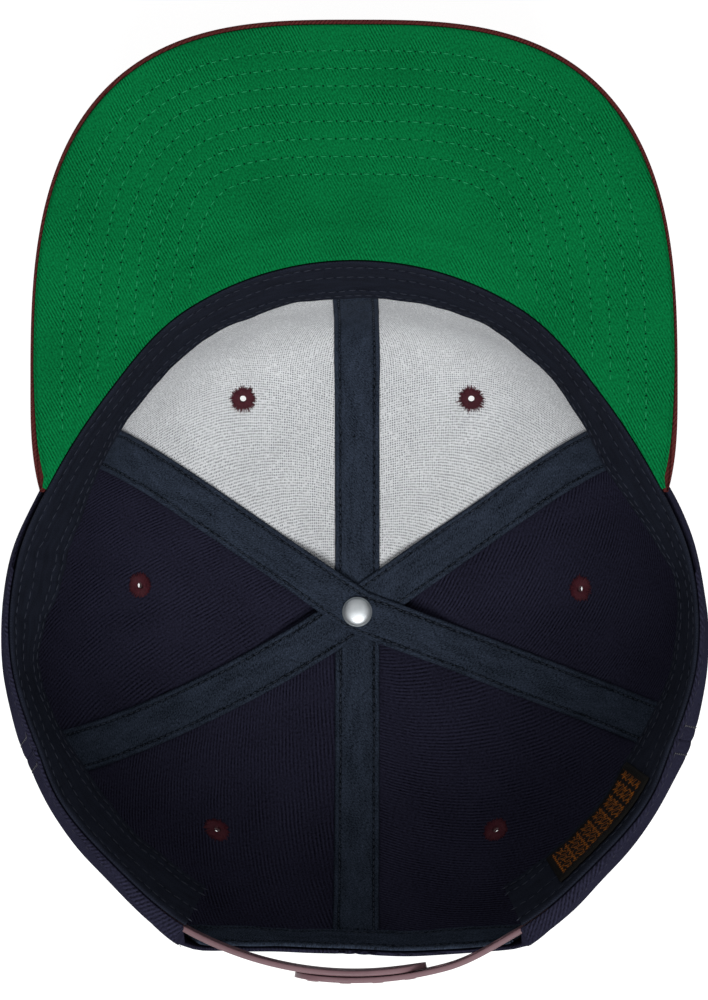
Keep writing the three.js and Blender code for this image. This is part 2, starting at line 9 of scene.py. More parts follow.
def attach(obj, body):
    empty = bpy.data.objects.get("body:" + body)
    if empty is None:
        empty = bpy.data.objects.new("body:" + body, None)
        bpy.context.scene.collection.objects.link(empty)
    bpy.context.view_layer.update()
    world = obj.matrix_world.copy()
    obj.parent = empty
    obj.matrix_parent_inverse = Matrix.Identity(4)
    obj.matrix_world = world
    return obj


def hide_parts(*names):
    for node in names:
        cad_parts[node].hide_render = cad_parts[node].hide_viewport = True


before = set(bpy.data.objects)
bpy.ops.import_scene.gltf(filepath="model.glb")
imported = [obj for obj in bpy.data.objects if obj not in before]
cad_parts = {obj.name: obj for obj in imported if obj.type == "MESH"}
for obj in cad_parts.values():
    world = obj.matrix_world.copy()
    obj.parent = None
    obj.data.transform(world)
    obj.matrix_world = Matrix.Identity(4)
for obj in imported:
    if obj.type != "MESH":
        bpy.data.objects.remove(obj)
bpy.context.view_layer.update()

# The camera looks straight into the crown, from a little towards the visor and to the cap's
# left. The cap lies tilted by a few degrees, so its own frame, with the rim near z = 0 and
# the visor to -y, is turned into the floor's. The cap's sizes are in millimetres from here.

REST_TILT = np.radians(7)
CAP_PLACE = np.array([0.12, 32.84, 113.41])
TURN = np.array(
    [
        [1, 0, 0],
        [0, np.cos(REST_TILT), -np.sin(REST_TILT)],
        [0, np.sin(REST_TILT), np.cos(REST_TILT)],
    ]
)


def to_floor(points):
    """Points in the cap's own frame, in mm, as points over the floor, in metres."""
    return (np.asarray(points) @ TURN.T + CAP_PLACE) / 1000


def placed(name, data):
    """A new object, linked into the scene."""
    made = bpy.data.objects.new(name, data)
    bpy.context.collection.objects.link(made)
    return made


SENSOR_WIDTH = 36
CAMERA_HEIGHT = 820  # above the rim
CAMERA_FORWARD = 40  # towards the visor
CAMERA_LEFT = 8  # towards the cap's left
FRAME_FORWARD = 36  # where the picture's middle lies, towards the visor
FRAME_LENGTH = 281.7  # of the cap's rim plane that the picture's long side shows

camera_data = bpy.data.cameras.new("camera")
camera_data.sensor_width = SENSOR_WIDTH
camera_data.lens = SENSOR_WIDTH * CAMERA_HEIGHT / FRAME_LENGTH
camera_data.shift_x = -CAMERA_LEFT / FRAME_LENGTH
camera_data.shift_y = (FRAME_FORWARD - CAMERA_FORWARD) / FRAME_LENGTH
camera = placed("camera", camera_data)
looks = TURN @ np.diag([-1.0, -1.0, 1.0])
camera.matrix_world = Matrix.Translation(
    Vector(to_floor([-CAMERA_LEFT, -CAMERA_FORWARD, CAMERA_HEIGHT]))
) @ Matrix(looks.tolist()).to_4x4()
bpy.context.scene.camera = camera


# Light: a white room, with one broad lamp behind the cap and a little to its left, which
# lights the inside of the front panels and leaves the inside of the back in shade.

ROOM_LIGHT = 0.46

world = bpy.data.worlds.new("white room")
world.use_nodes = True
world.node_tree.nodes["Background"].inputs["Color"].default_value = (1, 1, 1, 1)
world.node_tree.nodes["Background"].inputs["Strength"].default_value = ROOM_LIGHT
bpy.context.scene.world = world
bpy.context.scene.view_settings.view_transform = "Standard"


def lamp(name, place, aim, size, power):
    data = bpy.data.lights.new(name, "AREA")
    data.shape = "DISK"
    data.size = size
    data.energy = power
    lit = placed(name, data)
    lit.location = place
    lit.rotation_euler = (Vector(aim) - Vector(place)).to_track_quat("-Z", "Y").to_euler()


lamp("key", place=(-0.12, 0.8, 1.7), aim=(0, 0, 0.06), size=1.0, power=21)


# Crown: six triangular panels of navy wool twill, sewn to one another along six seams and
# top-stitched on both sides of each. It rests on the button and on its pressed front. The
# tools that it shares with later pieces come first.


class Socket:
    """A socket of a material's nodes, so that its maths reads as Python."""

    def __init__(self, finish, socket):
        self.finish, self.socket = finish, socket

    def math(self, operation, *others):
        return self.finish.node("ShaderNodeMath", {"operation": operation}, [self, *others])

    def __add__(self, other):
        return self.math("ADD", other)

    def __sub__(self, other):
        return self.math("SUBTRACT", other)

    def __mul__(self, other):
        return self.math("MULTIPLY", other)

    def __truediv__(self, other):
        return self.math("DIVIDE", other)

    def __pow__(self, other):
        return self.math("POWER", other)

    __radd__ = __add__


class Finish:
    """A material: one Principled shader, and the nodes that vary its colour and relief."""

    def __init__(self, name, roughness=0.8, metallic=0.0, **fixed):
        self.material = bpy.data.materials.new(name)
        self.material.use_nodes = True
        self.tree = self.material.node_tree
        self.shader = self.tree.nodes["Principled BSDF"]
        self.set("Roughness", roughness)
        self.set("Metallic", metallic)
        for socket, value in fixed.items():
            self.set(socket.replace("_", " ").title().replace("Ior", "IOR"), value)

    def fill(self, socket, value):
        if isinstance(value, Socket):
            self.tree.links.new(value.socket, socket)
        elif isinstance(value, (tuple, list)) and len(value) == 3 and len(socket.default_value) == 4:
            socket.default_value = (*value, 1)
        else:
            socket.default_value = value

    def set(self, socket, value):
        self.fill(self.shader.inputs[socket], value)

    def node(self, kind, settings=None, sockets=(), out=0):
        made = self.tree.nodes.new(kind)
        for name, value in (settings or {}).items():
            setattr(made, name, value)
        pairs = sockets.items() if isinstance(sockets, dict) else enumerate(sockets)
        for key, value in pairs:
            self.fill(made.inputs[key], value)
        return Socket(self, made.outputs[out])

    def blend(self, low, high, factor):
        settings = {"data_type": "RGBA", "clamp_factor": True}
        return self.node("ShaderNodeMix", settings, {0: factor, 6: low, 7: high}, out=2)

    def noise(self, vector, scale, detail=2.0, roughness=0.5):
        sockets = {"Vector": vector, "Scale": scale, "Detail": detail, "Roughness": roughness}
        return self.node("ShaderNodeTexNoise", None, sockets)

    def sine(self, phase):
        return self.node("ShaderNodeMath", {"operation": "SINE"}, [phase])

    def range(self, value, low, high, to_low=0.0, to_high=1.0):
        sockets = [value, low, high, to_low, to_high]
        return self.node("ShaderNodeMapRange", {"interpolation_type": "SMOOTHSTEP"}, sockets)

    def along(self, name):
        """The three numbers of a piece's own attribute, and the vector itself."""
        found = self.node("ShaderNodeAttribute", {"attribute_name": name}, out="Vector")
        split = self.node("ShaderNodeSeparateXYZ", None, [found])
        return [Socket(self, out) for out in split.socket.node.outputs] + [found]

    def join(self, x, y, z=0.0):
        return self.node("ShaderNodeCombineXYZ", None, [x, y, z])

    def relief(self, height, depth):
        sockets = {"Height": height, "Distance": depth / 1000, "Strength": 1.0}
        self.set("Normal", self.node("ShaderNodeBump", None, sockets))


def srgb(red, green, blue):
    """A colour read from the photograph, as the light that a shader wants."""
    shares = np.array([red, green, blue]) / 255
    return tuple(np.where(shares <= 0.04045, shares / 12.92, ((shares + 0.055) / 1.055) ** 2.4))


def store(mesh, label, values):
    """Stores a vector at each of a mesh's points."""
    layer = mesh.attributes.new(label, "FLOAT_VECTOR", "POINT")
    layer.data.foreach_set("vector", np.asarray(values, dtype=np.float32).ravel())


def new_piece(name, points, faces, material, slot, attributes=None):
    """A smooth-shaded mesh of points in metres, which rides on the cap."""
    mesh = bpy.data.meshes.new(name)
    mesh.from_pydata(np.asarray(points).tolist(), [], faces)
    for label, values in (attributes or {}).items():
        store(mesh, label, values)
    mesh.shade_smooth()
    mesh.materials.append(material)
    piece = placed(name, mesh)
    if slot:
        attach(piece, "root")
    return piece


def ring_faces(count, around):
    """The faces between rings of points that are numbered ring by ring."""
    numbers = np.arange(count * around).reshape(count, around)
    beside = np.roll(numbers, -1, axis=1)
    quads = np.stack([numbers[:-1], beside[:-1], beside[1:], numbers[1:]], axis=-1)
    return quads.reshape(-1, 4).tolist()


def facing_out(points, faces):
    """The faces of a closed piece, all turned round if they look inwards."""
    fans = [(face[0], face[i], face[i + 1]) for face in faces for i in range(1, len(face) - 1)]
    a, b, c = np.moveaxis(points[np.array(fans)], 1, 0)
    signed = np.einsum("ij,ij->", a, np.cross(b, c))
    return [face[::-1] for face in faces] if signed < 0 else faces


def sweep(name, rings, cloth, finish, slot):
    """A closed piece through rings of points in mm: rings x points round each ring x 3."""
    count, around = rings.shape[:2]
    half = around // 2
    faces = ring_faces(count, around)
    for start, way in ((0, 1), ((count - 1) * around, -1)):
        cap = [[k, around - 1 - k, around - 2 - k, k + 1] for k in range(half - 1)]
        if around % 2:
            cap.append([half - 1, half + 1, half])
        faces += [[start + i for i in face[::way]] for face in cap]
    points = rings.reshape(-1, 3)
    attributes = {"cloth": cloth.reshape(-1, 3)}
    faces = facing_out(points, faces)
    return new_piece(name, to_floor(points), faces, finish.material, slot, attributes)


def sheet(name, face, back, cloth, finish, slot):
    """A sheet between two grids of points in mm, which have the same places on the cloth."""
    rings = np.concatenate([face, back[:, ::-1]], axis=1)
    return sweep(name, rings, np.concatenate([cloth, cloth[:, ::-1]], axis=1), finish, slot)


HEAD_RADIUS = 97
CROWN_HEIGHT = 110.4
VISOR_BEND = 750
PRESS_SOFTNESS = 1.5
CLOTH_WALL = 1.2
SEAM_GAP = 0.01
LAYER_GAP = 0.3
BAND_GAP = 0.5
ARCH_HEIGHT = 48
ARCH_HALF_ANGLE = 29
ARCH_SQUARE = 2.2
VISOR_TIP = 66.4
VISOR_WALL = 3.0
PANEL_TIP = 2.4
CROWN_STITCH_MARGIN = 4.2
HEM_STITCH_MARGIN = 4.0
BUTTON_RADIUS = 7.75
BUTTON_HEIGHT = 4.2
BUTTON_PRESS = 0.7

# Angle from the front, the sweatband's fold, the rim's flare and the fullest radius, as
# shares of the head's radius, the height of the swell, and how square the section is
SECTIONS = np.array(
    [
        [0, 1.073, 0, 1.0, 0.6, 5.5],
        [28, 1.048, 0, 1.0, 0.55, 7],
        [46, 0.992, 0, 1.01, 0.45, 5],
        [62, 0.978, 0, 1.029, 0.36, 3.8],
        [78, 0.998, 0, 1.054, 0.3, 2.9],
        [95, 1.0, 0, 1.077, 0.3, 2.6],
        [110, 0.984, 0, 1.086, 0.3, 2.5],
        [120, 0.992, 0, 1.084, 0.3, 2.5],
        [135, 0.979, 0.012, 1.09, 0.3, 2.5],
        [151, 0.994, 0.045, 1.102, 0.3, 2.5],
        [180, 1.0, 0.05, 1.082, 0.3, 2.5],
    ]
)

# Each seam's angle at the rim and at the crown's top
SEAMS = {
    "front": (0, 0),
    "front_right": (56, 56),
    "front_left": (-56.3, -54.8),
    "rear_right": (110.5, 124),
    "rear_left": (-109, -111),
    "rear": (180, 180),
    "rear_from_left": (-180, -180),
}


def smooth_value(table, column, angle):
    """A smooth value between the rows of a table, as the CAD model has it."""
    at, values = table[:, 0], table[:, column]
    angle = np.clip(angle, at[0], at[-1])
    slopes = np.zeros(len(at))
    slopes[1:-1] = (values[2:] - values[:-2]) / (at[2:] - at[:-2])
    i = np.clip(np.searchsorted(at, angle), 1, len(at) - 1)
    span = at[i] - at[i - 1]
    t = (angle - at[i - 1]) / span
    low = values[i - 1] * (1 + 2 * t) * (1 - t) ** 2 + slopes[i - 1] * span * t * (1 - t) ** 2
    high = values[i] * t**2 * (3 - 2 * t) + slopes[i] * span * t**2 * (t - 1)
    return low + high


def smoothstep(value, low, high):
    t = np.clip((np.asarray(value, dtype=float) - low) / (high - low), 0, 1)
    return t * t * (3 - 2 * t)


def lerp(low, high, share):
    return low + (high - low) * share


def triples(x, y, z):
    return np.stack(np.broadcast_arrays(x, y, z), axis=-1)


def polar(angle, radius, z):
    turn = np.radians(angle)
    return triples(radius * np.sin(turn), -radius * np.cos(turn), z)


def flat_length(points):
    """How far points are from the crown's axis, or how long steps are, in x and y."""
    return np.hypot(points[..., 0], points[..., 1])


def angle_of(points):
    """Their angles round the crown's axis, from the front towards the right."""
    return np.degrees(np.arctan2(points[..., 0], -points[..., 1]))


def run_along(points, axis=0):
    """The distance along a line of points, or along each line of a grid."""
    first = np.take(points, [0], axis=axis)
    return np.cumsum(np.linalg.norm(np.diff(points, axis=axis, prepend=first), axis=-1), axis=axis)


def bell(value, at, width):
    return np.exp(-(((value - at) / width) ** 2))


def rounded(from_edge, reach):
    """The height beside an edge that is rounded over a reach, as a share of the whole."""
    return np.sqrt(np.clip(1 - (1 - np.minimum(from_edge / reach, 1)) ** 2, 0, 1))


def fold_radius(angle):
    return HEAD_RADIUS * smooth_value(SECTIONS, 1, np.abs(angle))


def rim_radius(angle):
    flare = HEAD_RADIUS * smooth_value(SECTIONS, 2, np.abs(angle))
    return fold_radius(angle) + BAND_GAP + CLOTH_WALL + flare


TIP_X = fold_radius(VISOR_TIP) * np.sin(np.radians(VISOR_TIP))


def visor_lift(x):
    return (x**2 - TIP_X**2) / (2 * VISOR_BEND)


def rim_height(angle):
    sideways = np.minimum(np.abs(angle), 90)
    return visor_lift(fold_radius(sideways) * np.sin(np.radians(sideways)))


BUTTON_SPHERE = (BUTTON_RADIUS**2 + BUTTON_HEIGHT**2) / (2 * BUTTON_HEIGHT)
BUTTON_TOP = CROWN_HEIGHT + LAYER_GAP
SPHERE_DEPTH = BUTTON_TOP + BUTTON_HEIGHT - BUTTON_SPHERE
FLOOR_DISTANCE = SPHERE_DEPTH * np.cos(REST_TILT) + BUTTON_SPHERE - BUTTON_PRESS


def ripple(points, wavelength, seed, waves=14):
    """A gentle unevenness between about -1 and 1, the same each run."""
    chance = np.random.default_rng(seed)
    total = np.zeros(points.shape[:-1])
    for _ in range(waves):
        direction = chance.normal(size=3)
        direction /= np.linalg.norm(direction) * wavelength * chance.uniform(0.7, 1.5)
        total += np.sin(2 * np.pi * (points @ direction + chance.uniform()))
    return total / np.sqrt(2 * waves)


COLUMNS, ROWS = 721, 401


def crown_tables():
    """The crown's outer face and its outward direction, by angle and share of the way up."""
    angle = np.linspace(-180, 180, COLUMNS)[:, None]
    turn = np.linspace(0, np.pi / 2, 900)[None, :]
    across, down = np.maximum(np.cos(turn), 0), np.sin(turn)
    body, swell, square = (smooth_value(SECTIONS, i, np.abs(angle)) for i in (3, 4, 5))
    reach = (across**square + down**square) ** (-1 / square)
    depth = CROWN_HEIGHT * down * reach
    swelled = smoothstep(depth / (CROWN_HEIGHT * swell), 0, 1)
    radius = lerp(rim_radius(angle), HEAD_RADIUS * body, swelled) * across * reach
    points = polar(angle, radius, lerp(rim_height(angle), 0, depth / CROWN_HEIGHT) - depth)
    uneven = ripple(points, 38, 11) * 0.45 + ripple(points, 17, 12) * 0.14
    uneven = uneven * smoothstep(depth, 6, 30) * smoothstep(radius, 14, 40)
    points[..., :2] *= (1 + uneven / 100)[..., None]
    points[..., 2] += uneven * smoothstep(depth, 60, 105)
    floor = (FLOOR_DISTANCE + points[..., 1] * np.sin(REST_TILT)) / np.cos(REST_TILT)
    over = np.maximum(PRESS_SOFTNESS - np.abs(floor + points[..., 2]), 0) / PRESS_SOFTNESS
    points[..., 2] = -np.minimum(-points[..., 2], floor) + over**2 * PRESS_SOFTNESS / 4
    lengths = run_along(points, axis=1)
    shares = np.linspace(0, 1, ROWS)
    face = np.empty((COLUMNS, ROWS, 3))
    for column in range(COLUMNS):
        at = lengths[column] / lengths[column, -1]
        for axis in range(3):
            face[column, :, axis] = np.interp(shares, at, points[column, :, axis])
    outward = -np.cross(np.gradient(face, axis=0), np.gradient(face, axis=1))
    outward[0] = outward[-1] = outward[0] + outward[-1]
    outward[:, -3:] = outward[:, -4:-3]
    outward /= np.linalg.norm(outward, axis=2, keepdims=True)
    return face, outward, lengths[:, -1]


CROWN_FACE, CROWN_OUTWARD, CROWN_LENGTHS = crown_tables()


def look_up(table, angle, share):
    column = (np.asarray(angle, dtype=float) + 180) % 360 * (COLUMNS - 1) / 360
    row = np.clip(share, 0, 1) * (ROWS - 1)
    i = np.minimum(column.astype(int), COLUMNS - 2)
    j = np.minimum(row.astype(int), ROWS - 2)
    f, g = (column - i)[..., None], (row - j)[..., None]
    low = table[i, j] * (1 - g) + table[i, j + 1] * g
    return low * (1 - f) + (table[i + 1, j] * (1 - g) + table[i + 1, j + 1] * g) * f


def crown(angle, share, inset=0.0):
    """Points of the crown in mm, moved inwards from its outer face."""
    angle, share, inset = np.broadcast_arrays(angle, share, inset)
    return look_up(CROWN_FACE, angle, share) - look_up(CROWN_OUTWARD, angle, share) * inset[..., None]


def share_where(angle, test):
    low, high = np.zeros(np.shape(angle)), np.ones(np.shape(angle))
    for _ in range(26):
        middle = (low + high) / 2
        passed = test(crown(angle, middle))
        high, low = np.where(passed, middle, high), np.where(passed, low, middle)
    return high


def share_at_depth(angle, depth):
    return share_where(angle, lambda points: points[..., 2] < rim_height(angle) - depth)


def share_at_radius(angle, radius):
    return share_where(angle, lambda points: flat_length(points) < radius)


def panel_start(angle):
    """Where a panel starts: under the visor at the front, and at the arch at the back."""
    bearing = np.abs(angle)
    across = np.abs(180 - bearing) / ARCH_HALF_ANGLE
    arch = ARCH_HEIGHT * np.maximum(1 - across**ARCH_SQUARE, 0) ** (1 / ARCH_SQUARE)
    under_visor = 1 - smoothstep(bearing, VISOR_TIP + 7.5, VISOR_TIP + 15)
    return share_at_depth(angle, np.where(across < 1, arch, under_visor * (VISOR_WALL + LAYER_GAP)))


def closer_at_ends(count, even=0.45):
    steps = np.linspace(0, 1, count)
    return lerp(0.5 - 0.5 * np.cos(np.pi * steps), steps, even)


def seam_angle(seam, share):
    rim, top = SEAMS[seam]
    return lerp(rim, top, share)


# The hem that turns in at the rim: shares of its width, and its faces' heights
HEM_PROFILE = [(1.0, -0.3, -0.75), (0.93, -0.03, -1.02), (0.5, 0.0, -1.05), (0.12, 0.0, -1.05)]


def hem_width(angle):
    """How far the hem turns in from the rim's edge, to lie against the sweatband's fold."""
    bearing = np.abs(angle)
    free = (bearing > VISOR_TIP + 14) & (bearing < 180 - ARCH_HALF_ANGLE)
    return np.where(free, rim_radius(angle) - CLOTH_WALL / 2 - fold_radius(angle) - 0.2, 0.03)


def crown_sheet(seam_a, seam_b, columns, rows, starts, inset, wall, relief=None):
    """Rings of a sheet between two seams, from the rim to the top, and where each point lies
    on the cloth: across from the sheet's middle and along from the rim, in mm."""
    place = closer_at_ends(columns)[None, :]
    start = np.full((1, columns), 0.0)

    def angle_at(share):
        low, high = seam_angle(seam_a, share), seam_angle(seam_b, share)
        radius = flat_length(crown(low, share))
        margin = np.degrees(SEAM_GAP / 2 / np.maximum(radius, PANEL_TIP))
        return lerp(low + margin * np.sign(high - low), high - margin * np.sign(high - low), place)

    for _ in range(4):
        start = starts(angle_at(start))
    row = np.linspace(0, 1, rows)[:, None] ** 0.9
    share = row + start * (1 - row) ** 3
    angle = angle_at(np.minimum(share, 0.985))
    share = np.minimum(share, share_at_radius(angle, PANEL_TIP))
    points = crown(angle, share)
    radius = flat_length(points)
    middle = (seam_angle(seam_a, share) + seam_angle(seam_b, share)) / 2
    across = np.radians(angle - middle) * radius
    along = share * np.interp(np.abs(angle), [0, 90, 180], CROWN_LENGTHS[[360, 540, 720]])
    half = np.radians(np.abs(seam_angle(seam_a, share) - seam_angle(seam_b, share))) / 2 * radius
    from_seam = half - np.abs(across)
    edge = run_along(points)
    rounding = wall / 2 * (1 - rounded(edge, wall / 2))
    outside = inset + rounding + (relief(from_seam, edge) if relief else 0)
    outer = crown(angle, share, outside)
    hem = hem_width(angle[0]) if relief else np.zeros(columns)
    turns_in = hem > 0.1
    under = np.where(turns_in, np.maximum(share, share_at_depth(angle[0], 1.15)), share)
    inner = crown(angle, under, inset + wall - np.where(turns_in, 0, rounding))
    rings = np.concatenate([outer, inner[:, ::-1]], axis=1)
    cloth = triples(across, along, from_seam)
    cloth = np.concatenate([cloth, cloth[:, ::-1]], axis=1)
    if not relief:
        return rings, cloth
    edge_rings, edge_cloth = [], []
    for part, top, bottom in HEM_PROFILE:
        size = np.where(turns_in, 1.0, 0.02)
        above = outer[0] - polar(angle[0], hem * part, -size * top)
        below = outer[0] - polar(angle[0], np.maximum(hem * part, 0.65 * size), -size * bottom)
        edge_rings.append(np.concatenate([above, below[::-1]]))
        shift = np.concatenate([hem * part, hem[::-1] * part])
        edge_cloth.append(cloth[0] - triples(0.0, shift, 0.0))
    return np.concatenate([edge_rings, rings]), np.concatenate([edge_cloth, cloth])


def sewn_relief(from_seam, edge):
    """The groove of a seam, and the two lines that its top stitches press in."""
    stitched = bell(from_seam, CROWN_STITCH_MARGIN, 0.8) + bell(edge, HEM_STITCH_MARGIN, 0.8)
    return 0.28 * bell(from_seam, 0, 0.8) + 0.16 * stitched


def grained(cloth, rib_angle):
    """Cloth places turned so that x runs across the twill's ribs and y along them."""
    turn = np.radians(rib_angle)
    across, along = cloth[..., 0], cloth[..., 1]
    x = across * np.cos(turn) - along * np.sin(turn)
    return triples(x, across * np.sin(turn) + along * np.cos(turn), cloth[..., 2])


def twill(name, shade, light, pitch, roughness=0.9, relief=0.16, fuzz=0.35, ribbed=0.62):
    """Twill: slanting ribs of short floats, with loose fibres over them."""
    finish = Finish(name, roughness, specular_ior_level=0.0)
    x, y, _, place = finish.along("cloth")
    drift = finish.noise(place, 0.12, 1.0)
    phase = (x / pitch + drift * 0.6) * (2 * np.pi)
    rib = finish.sine(phase) * 0.5 + 0.5
    floats = finish.noise(finish.join(x * (1.1 / pitch), y * (0.6 / pitch)), 1.6, 2.0, 0.6)
    fibres = finish.noise(finish.join(x, y * 0.7), 1.9, 3.0, 0.7)
    wear_and_shade = finish.noise(place, 0.035, 3.0, 0.55)
    shows = finish.range(finish.noise(place, 0.09, 2.0, 0.6), 0.36, 0.62, 0.3, 1.0)
    height = (rib - 0.5) * shows * ribbed + floats * 0.6 + ribbed / 2
    bright = height * 0.7 + (fibres - 0.5) * fuzz + wear_and_shade * 0.3 - 0.13
    finish.set("Base Color", finish.blend(srgb(*shade), srgb(*light), bright))
    finish.relief(height + fibres * 0.25, relief)
    return finish


navy_twill = twill("navy twill", (6, 5, 6), (58, 58, 80), 1.12, relief=0.18, fuzz=1.15, ribbed=0.56)
RIB_ANGLES = {"right": -31, "left": -56}
PANELS = {
    "front_right": ("front", "front_right"),
    "front_left": ("front", "front_left"),
    "side_right": ("front_right", "rear_right"),
    "side_left": ("front_left", "rear_left"),
    "rear_right": ("rear_right", "rear"),
    "rear_left": ("rear_left", "rear_from_left"),
}
panels = {}
for name, between in PANELS.items():
    rings, cloth = crown_sheet(*between, 66, 120, panel_start, 0, CLOTH_WALL, sewn_relief)
    cloth = grained(cloth, RIB_ANGLES[name.split("_")[1]])
    panels[name] = sweep(f"crown_{name}", rings, cloth, navy_twill, "crown_twill")
    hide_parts(f"panel_{name}")


# Stiffener: two pieces of open-woven white buckram, fused to the backs of the front panels,
# which keep the cap's front upright. It ends under the sweatband.

BUCKRAM_WALL = 0.9
BUCKRAM_BELOW_RIM = 9


def buckram_cloth():
    """Plain weave of stiff threads with pores between them."""
    finish = Finish("white buckram", 0.92, specular_ior_level=0.2)
    x, y, _, place = finish.along("cloth")
    wander = finish.noise(place, 0.3, 2.0)
    turn_x = (x / 0.66 + wander * 0.8) * np.pi
    turn_y = (y / 0.84 + wander * 0.7) * np.pi
    across = finish.sine(turn_x) ** 2
    along = finish.sine(turn_y) ** 2
    uneven = finish.noise(place, 1.3, 2.0, 0.6)
    pores = across * along * finish.range(uneven, 0.3, 0.62)
    threads = finish.noise(finish.join(x * 0.6, y * 2.4), 1.3, 3.0, 0.65)
    cloudy = finish.noise(place, 0.05, 3.0)
    bright = 0.52 + threads * 0.55 + cloudy * 0.3 - pores * 1.6
    finish.set("Base Color", finish.blend(srgb(126, 129, 134), srgb(240, 242, 244), bright))
    finish.relief(threads * 0.4 - pores, 0.12)
    return finish


def buckram_start(angle):
    return share_at_depth(angle, BUCKRAM_BELOW_RIM)


buckram_finish = buckram_cloth()
buckrams = {}
for side, turn in (("right", 28), ("left", -27)):
    inset = CLOTH_WALL + LAYER_GAP
    rings, cloth = crown_sheet(
        "front", f"front_{side}", 40, 80, buckram_start, inset, BUCKRAM_WALL
    )
    cloth = grained(cloth, turn)
    buckrams[side] = sweep(f"stiffener_{side}", rings, cloth, buckram_finish, "stiffener")
    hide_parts(f"buckram_{side}")


# Seam tapes: dark blue cotton strips with folded edges, sewn over the seams' insides along
# both edges. The three cross at the top, where the rivet holds them.

TAPE_WALL = 1.0
TAPE_WIDTH = 14.2
TAPE_GAP = 0.5
TAPE_FRONT_INSET = CLOTH_WALL + LAYER_GAP + BUCKRAM_WALL + TAPE_GAP
TAPE_REAR_INSET = CLOTH_WALL + TAPE_GAP
TAPE_BELOW_RIM = 23
TAPE_STITCH_MARGIN = 1.7
TAPE_STITCH_SINK = 0.25  # of the stitches into the tape's face
STACK_INNER, STACK_OUTER = 17, 38
ARCH_TAPE_WIDTH = 11


def settle(points, inset, share):
    """The crown's points nearest to points that lie close to it."""
    angle = angle_of(points)
    step = 0.003
    for _ in range(8):
        low, high = np.clip(share - step, 0, 1), np.clip(share + step, 0, 1)
        tangent = (crown(angle, high) - crown(angle, low)) / (high - low)[..., None]
        error = np.einsum("...i,...i->...", points - crown(angle, share), tangent)
        share = np.clip(share + error / np.einsum("...i,...i->...", tangent, tangent), 0, 1)
    return crown(angle, share, inset)


def tape_path(front, rear, rear_depth, count):
    """Stations from the front seam's start over the crown's top to the opposite seam's."""
    front_rim, rear_rim = np.array(SEAMS[front][0]), np.array(SEAMS[rear][0])
    first = share_at_depth(front_rim, TAPE_BELOW_RIM)
    last = share_at_depth(rear_rim, rear_depth)
    go = np.linspace(first, 1, count)
    back = np.linspace(1, last, count)[1:]
    share = np.concatenate([go, back])
    angle = np.concatenate([seam_angle(front, go), seam_angle(rear, back)])
    return angle, share, np.arange(len(share)) < count


def tape_points(path, layer, across, above):
    """Points of a tape: across it in mm and above its back, in mm, as stations x across."""
    angle, share, in_front = path
    centre = crown(angle, share)
    ahead = np.gradient(centre, axis=0)
    outward = look_up(CROWN_OUTWARD, angle, share)
    near = smoothstep(share, 0.985, 1.0)[:, None]
    outward = outward * (1 - near) + np.array([0, 0, -1]) * near
    side = np.cross(ahead, outward)
    side /= np.linalg.norm(side, axis=1, keepdims=True)
    points = centre[:, None] + side[:, None] * across[..., None]
    stacked = 1 - smoothstep(flat_length(points), STACK_INNER, STACK_OUTER)
    blend = smoothstep(np.arange(len(share)), *np.flatnonzero(share > 0.93)[[0, -1]])
    base = lerp(TAPE_FRONT_INSET, TAPE_REAR_INSET, blend)[:, None]
    inset = lerp(base, TAPE_FRONT_INSET + layer * (TAPE_WALL + LAYER_GAP), stacked)
    return settle(points, inset + above, np.broadcast_to(share[:, None], points.shape[:2]))


def tape_height(from_edge):
    """The height of a tape's face over its back, with its folded edges rounded."""
    return TAPE_WALL * (0.35 + 0.65 * rounded(from_edge, 0.6))


def tape_cloth():
    """Closely woven cotton cut on the slant, with a soft shine."""
    finish = Finish("seam tape", 0.8, specular_ior_level=0.04)
    x, y, edge, place = finish.along("cloth")
    weave = finish.noise(finish.join((x + y) * 0.55, (x - y) * 1.3), 1.5, 2.0, 0.6)
    fibres = finish.noise(place, 2.0, 3.0, 0.75)
    wear_and_shade = finish.noise(finish.join(x * 0.5, y * 0.14), 0.6, 3.0, 0.6)
    # Painted shade: the cloth darkened along the grooves that the stitch lines press in.
    groove_shade = finish.range(edge, 1.1, 1.6, 0.0, 1.0) * finish.range(edge, 2.5, 1.8, 0.0, 1.0)
    bright = (weave - 0.5) * 1.4 + (fibres - 0.5) * 1.2 + wear_and_shade * 0.6 - groove_shade * 0.28 + 0.1
    finish.set("Base Color", finish.blend(srgb(6, 9, 13), srgb(70, 81, 100), bright))
    finish.relief(weave * 0.7 + fibres * 0.5, 0.16)
    return finish


tape_finish = tape_cloth()

# Each tape: its seams, its place in the pile, how deep its rear end lies, and its creases as
# mm from the front end, slant, and height
TAPES = {
    "tape_centre": (
        "front",
        "rear",
        0,
        ARCH_HEIGHT + ARCH_TAPE_WIDTH + TAPE_GAP,
        [(20, 0.3, 0.3), (33, -0.4, 0.2)],
    ),
    "tape_left_right": (
        "front_left",
        "rear_right",
        1,
        TAPE_BELOW_RIM,
        [(22, 0.9, 0.5), (30, 0.7, 0.4), (38, 0.6, 0.3), (44, -0.6, 0.25), (180, 0.6, 0.3)],
    ),
    "tape_right_left": (
        "front_right",
        "rear_left",
        2,
        TAPE_BELOW_RIM,
        [(18, 0.5, 0.3), (30, 0.7, 0.3), (46, -0.6, 0.2), (194, -0.5, 0.55), (201, -0.9, 0.35)]
        + [(180, 0.8, 0.25)],
    ),
}
STITCHES = {}  # lines of stitches by name: points, the outward direction there, and the look
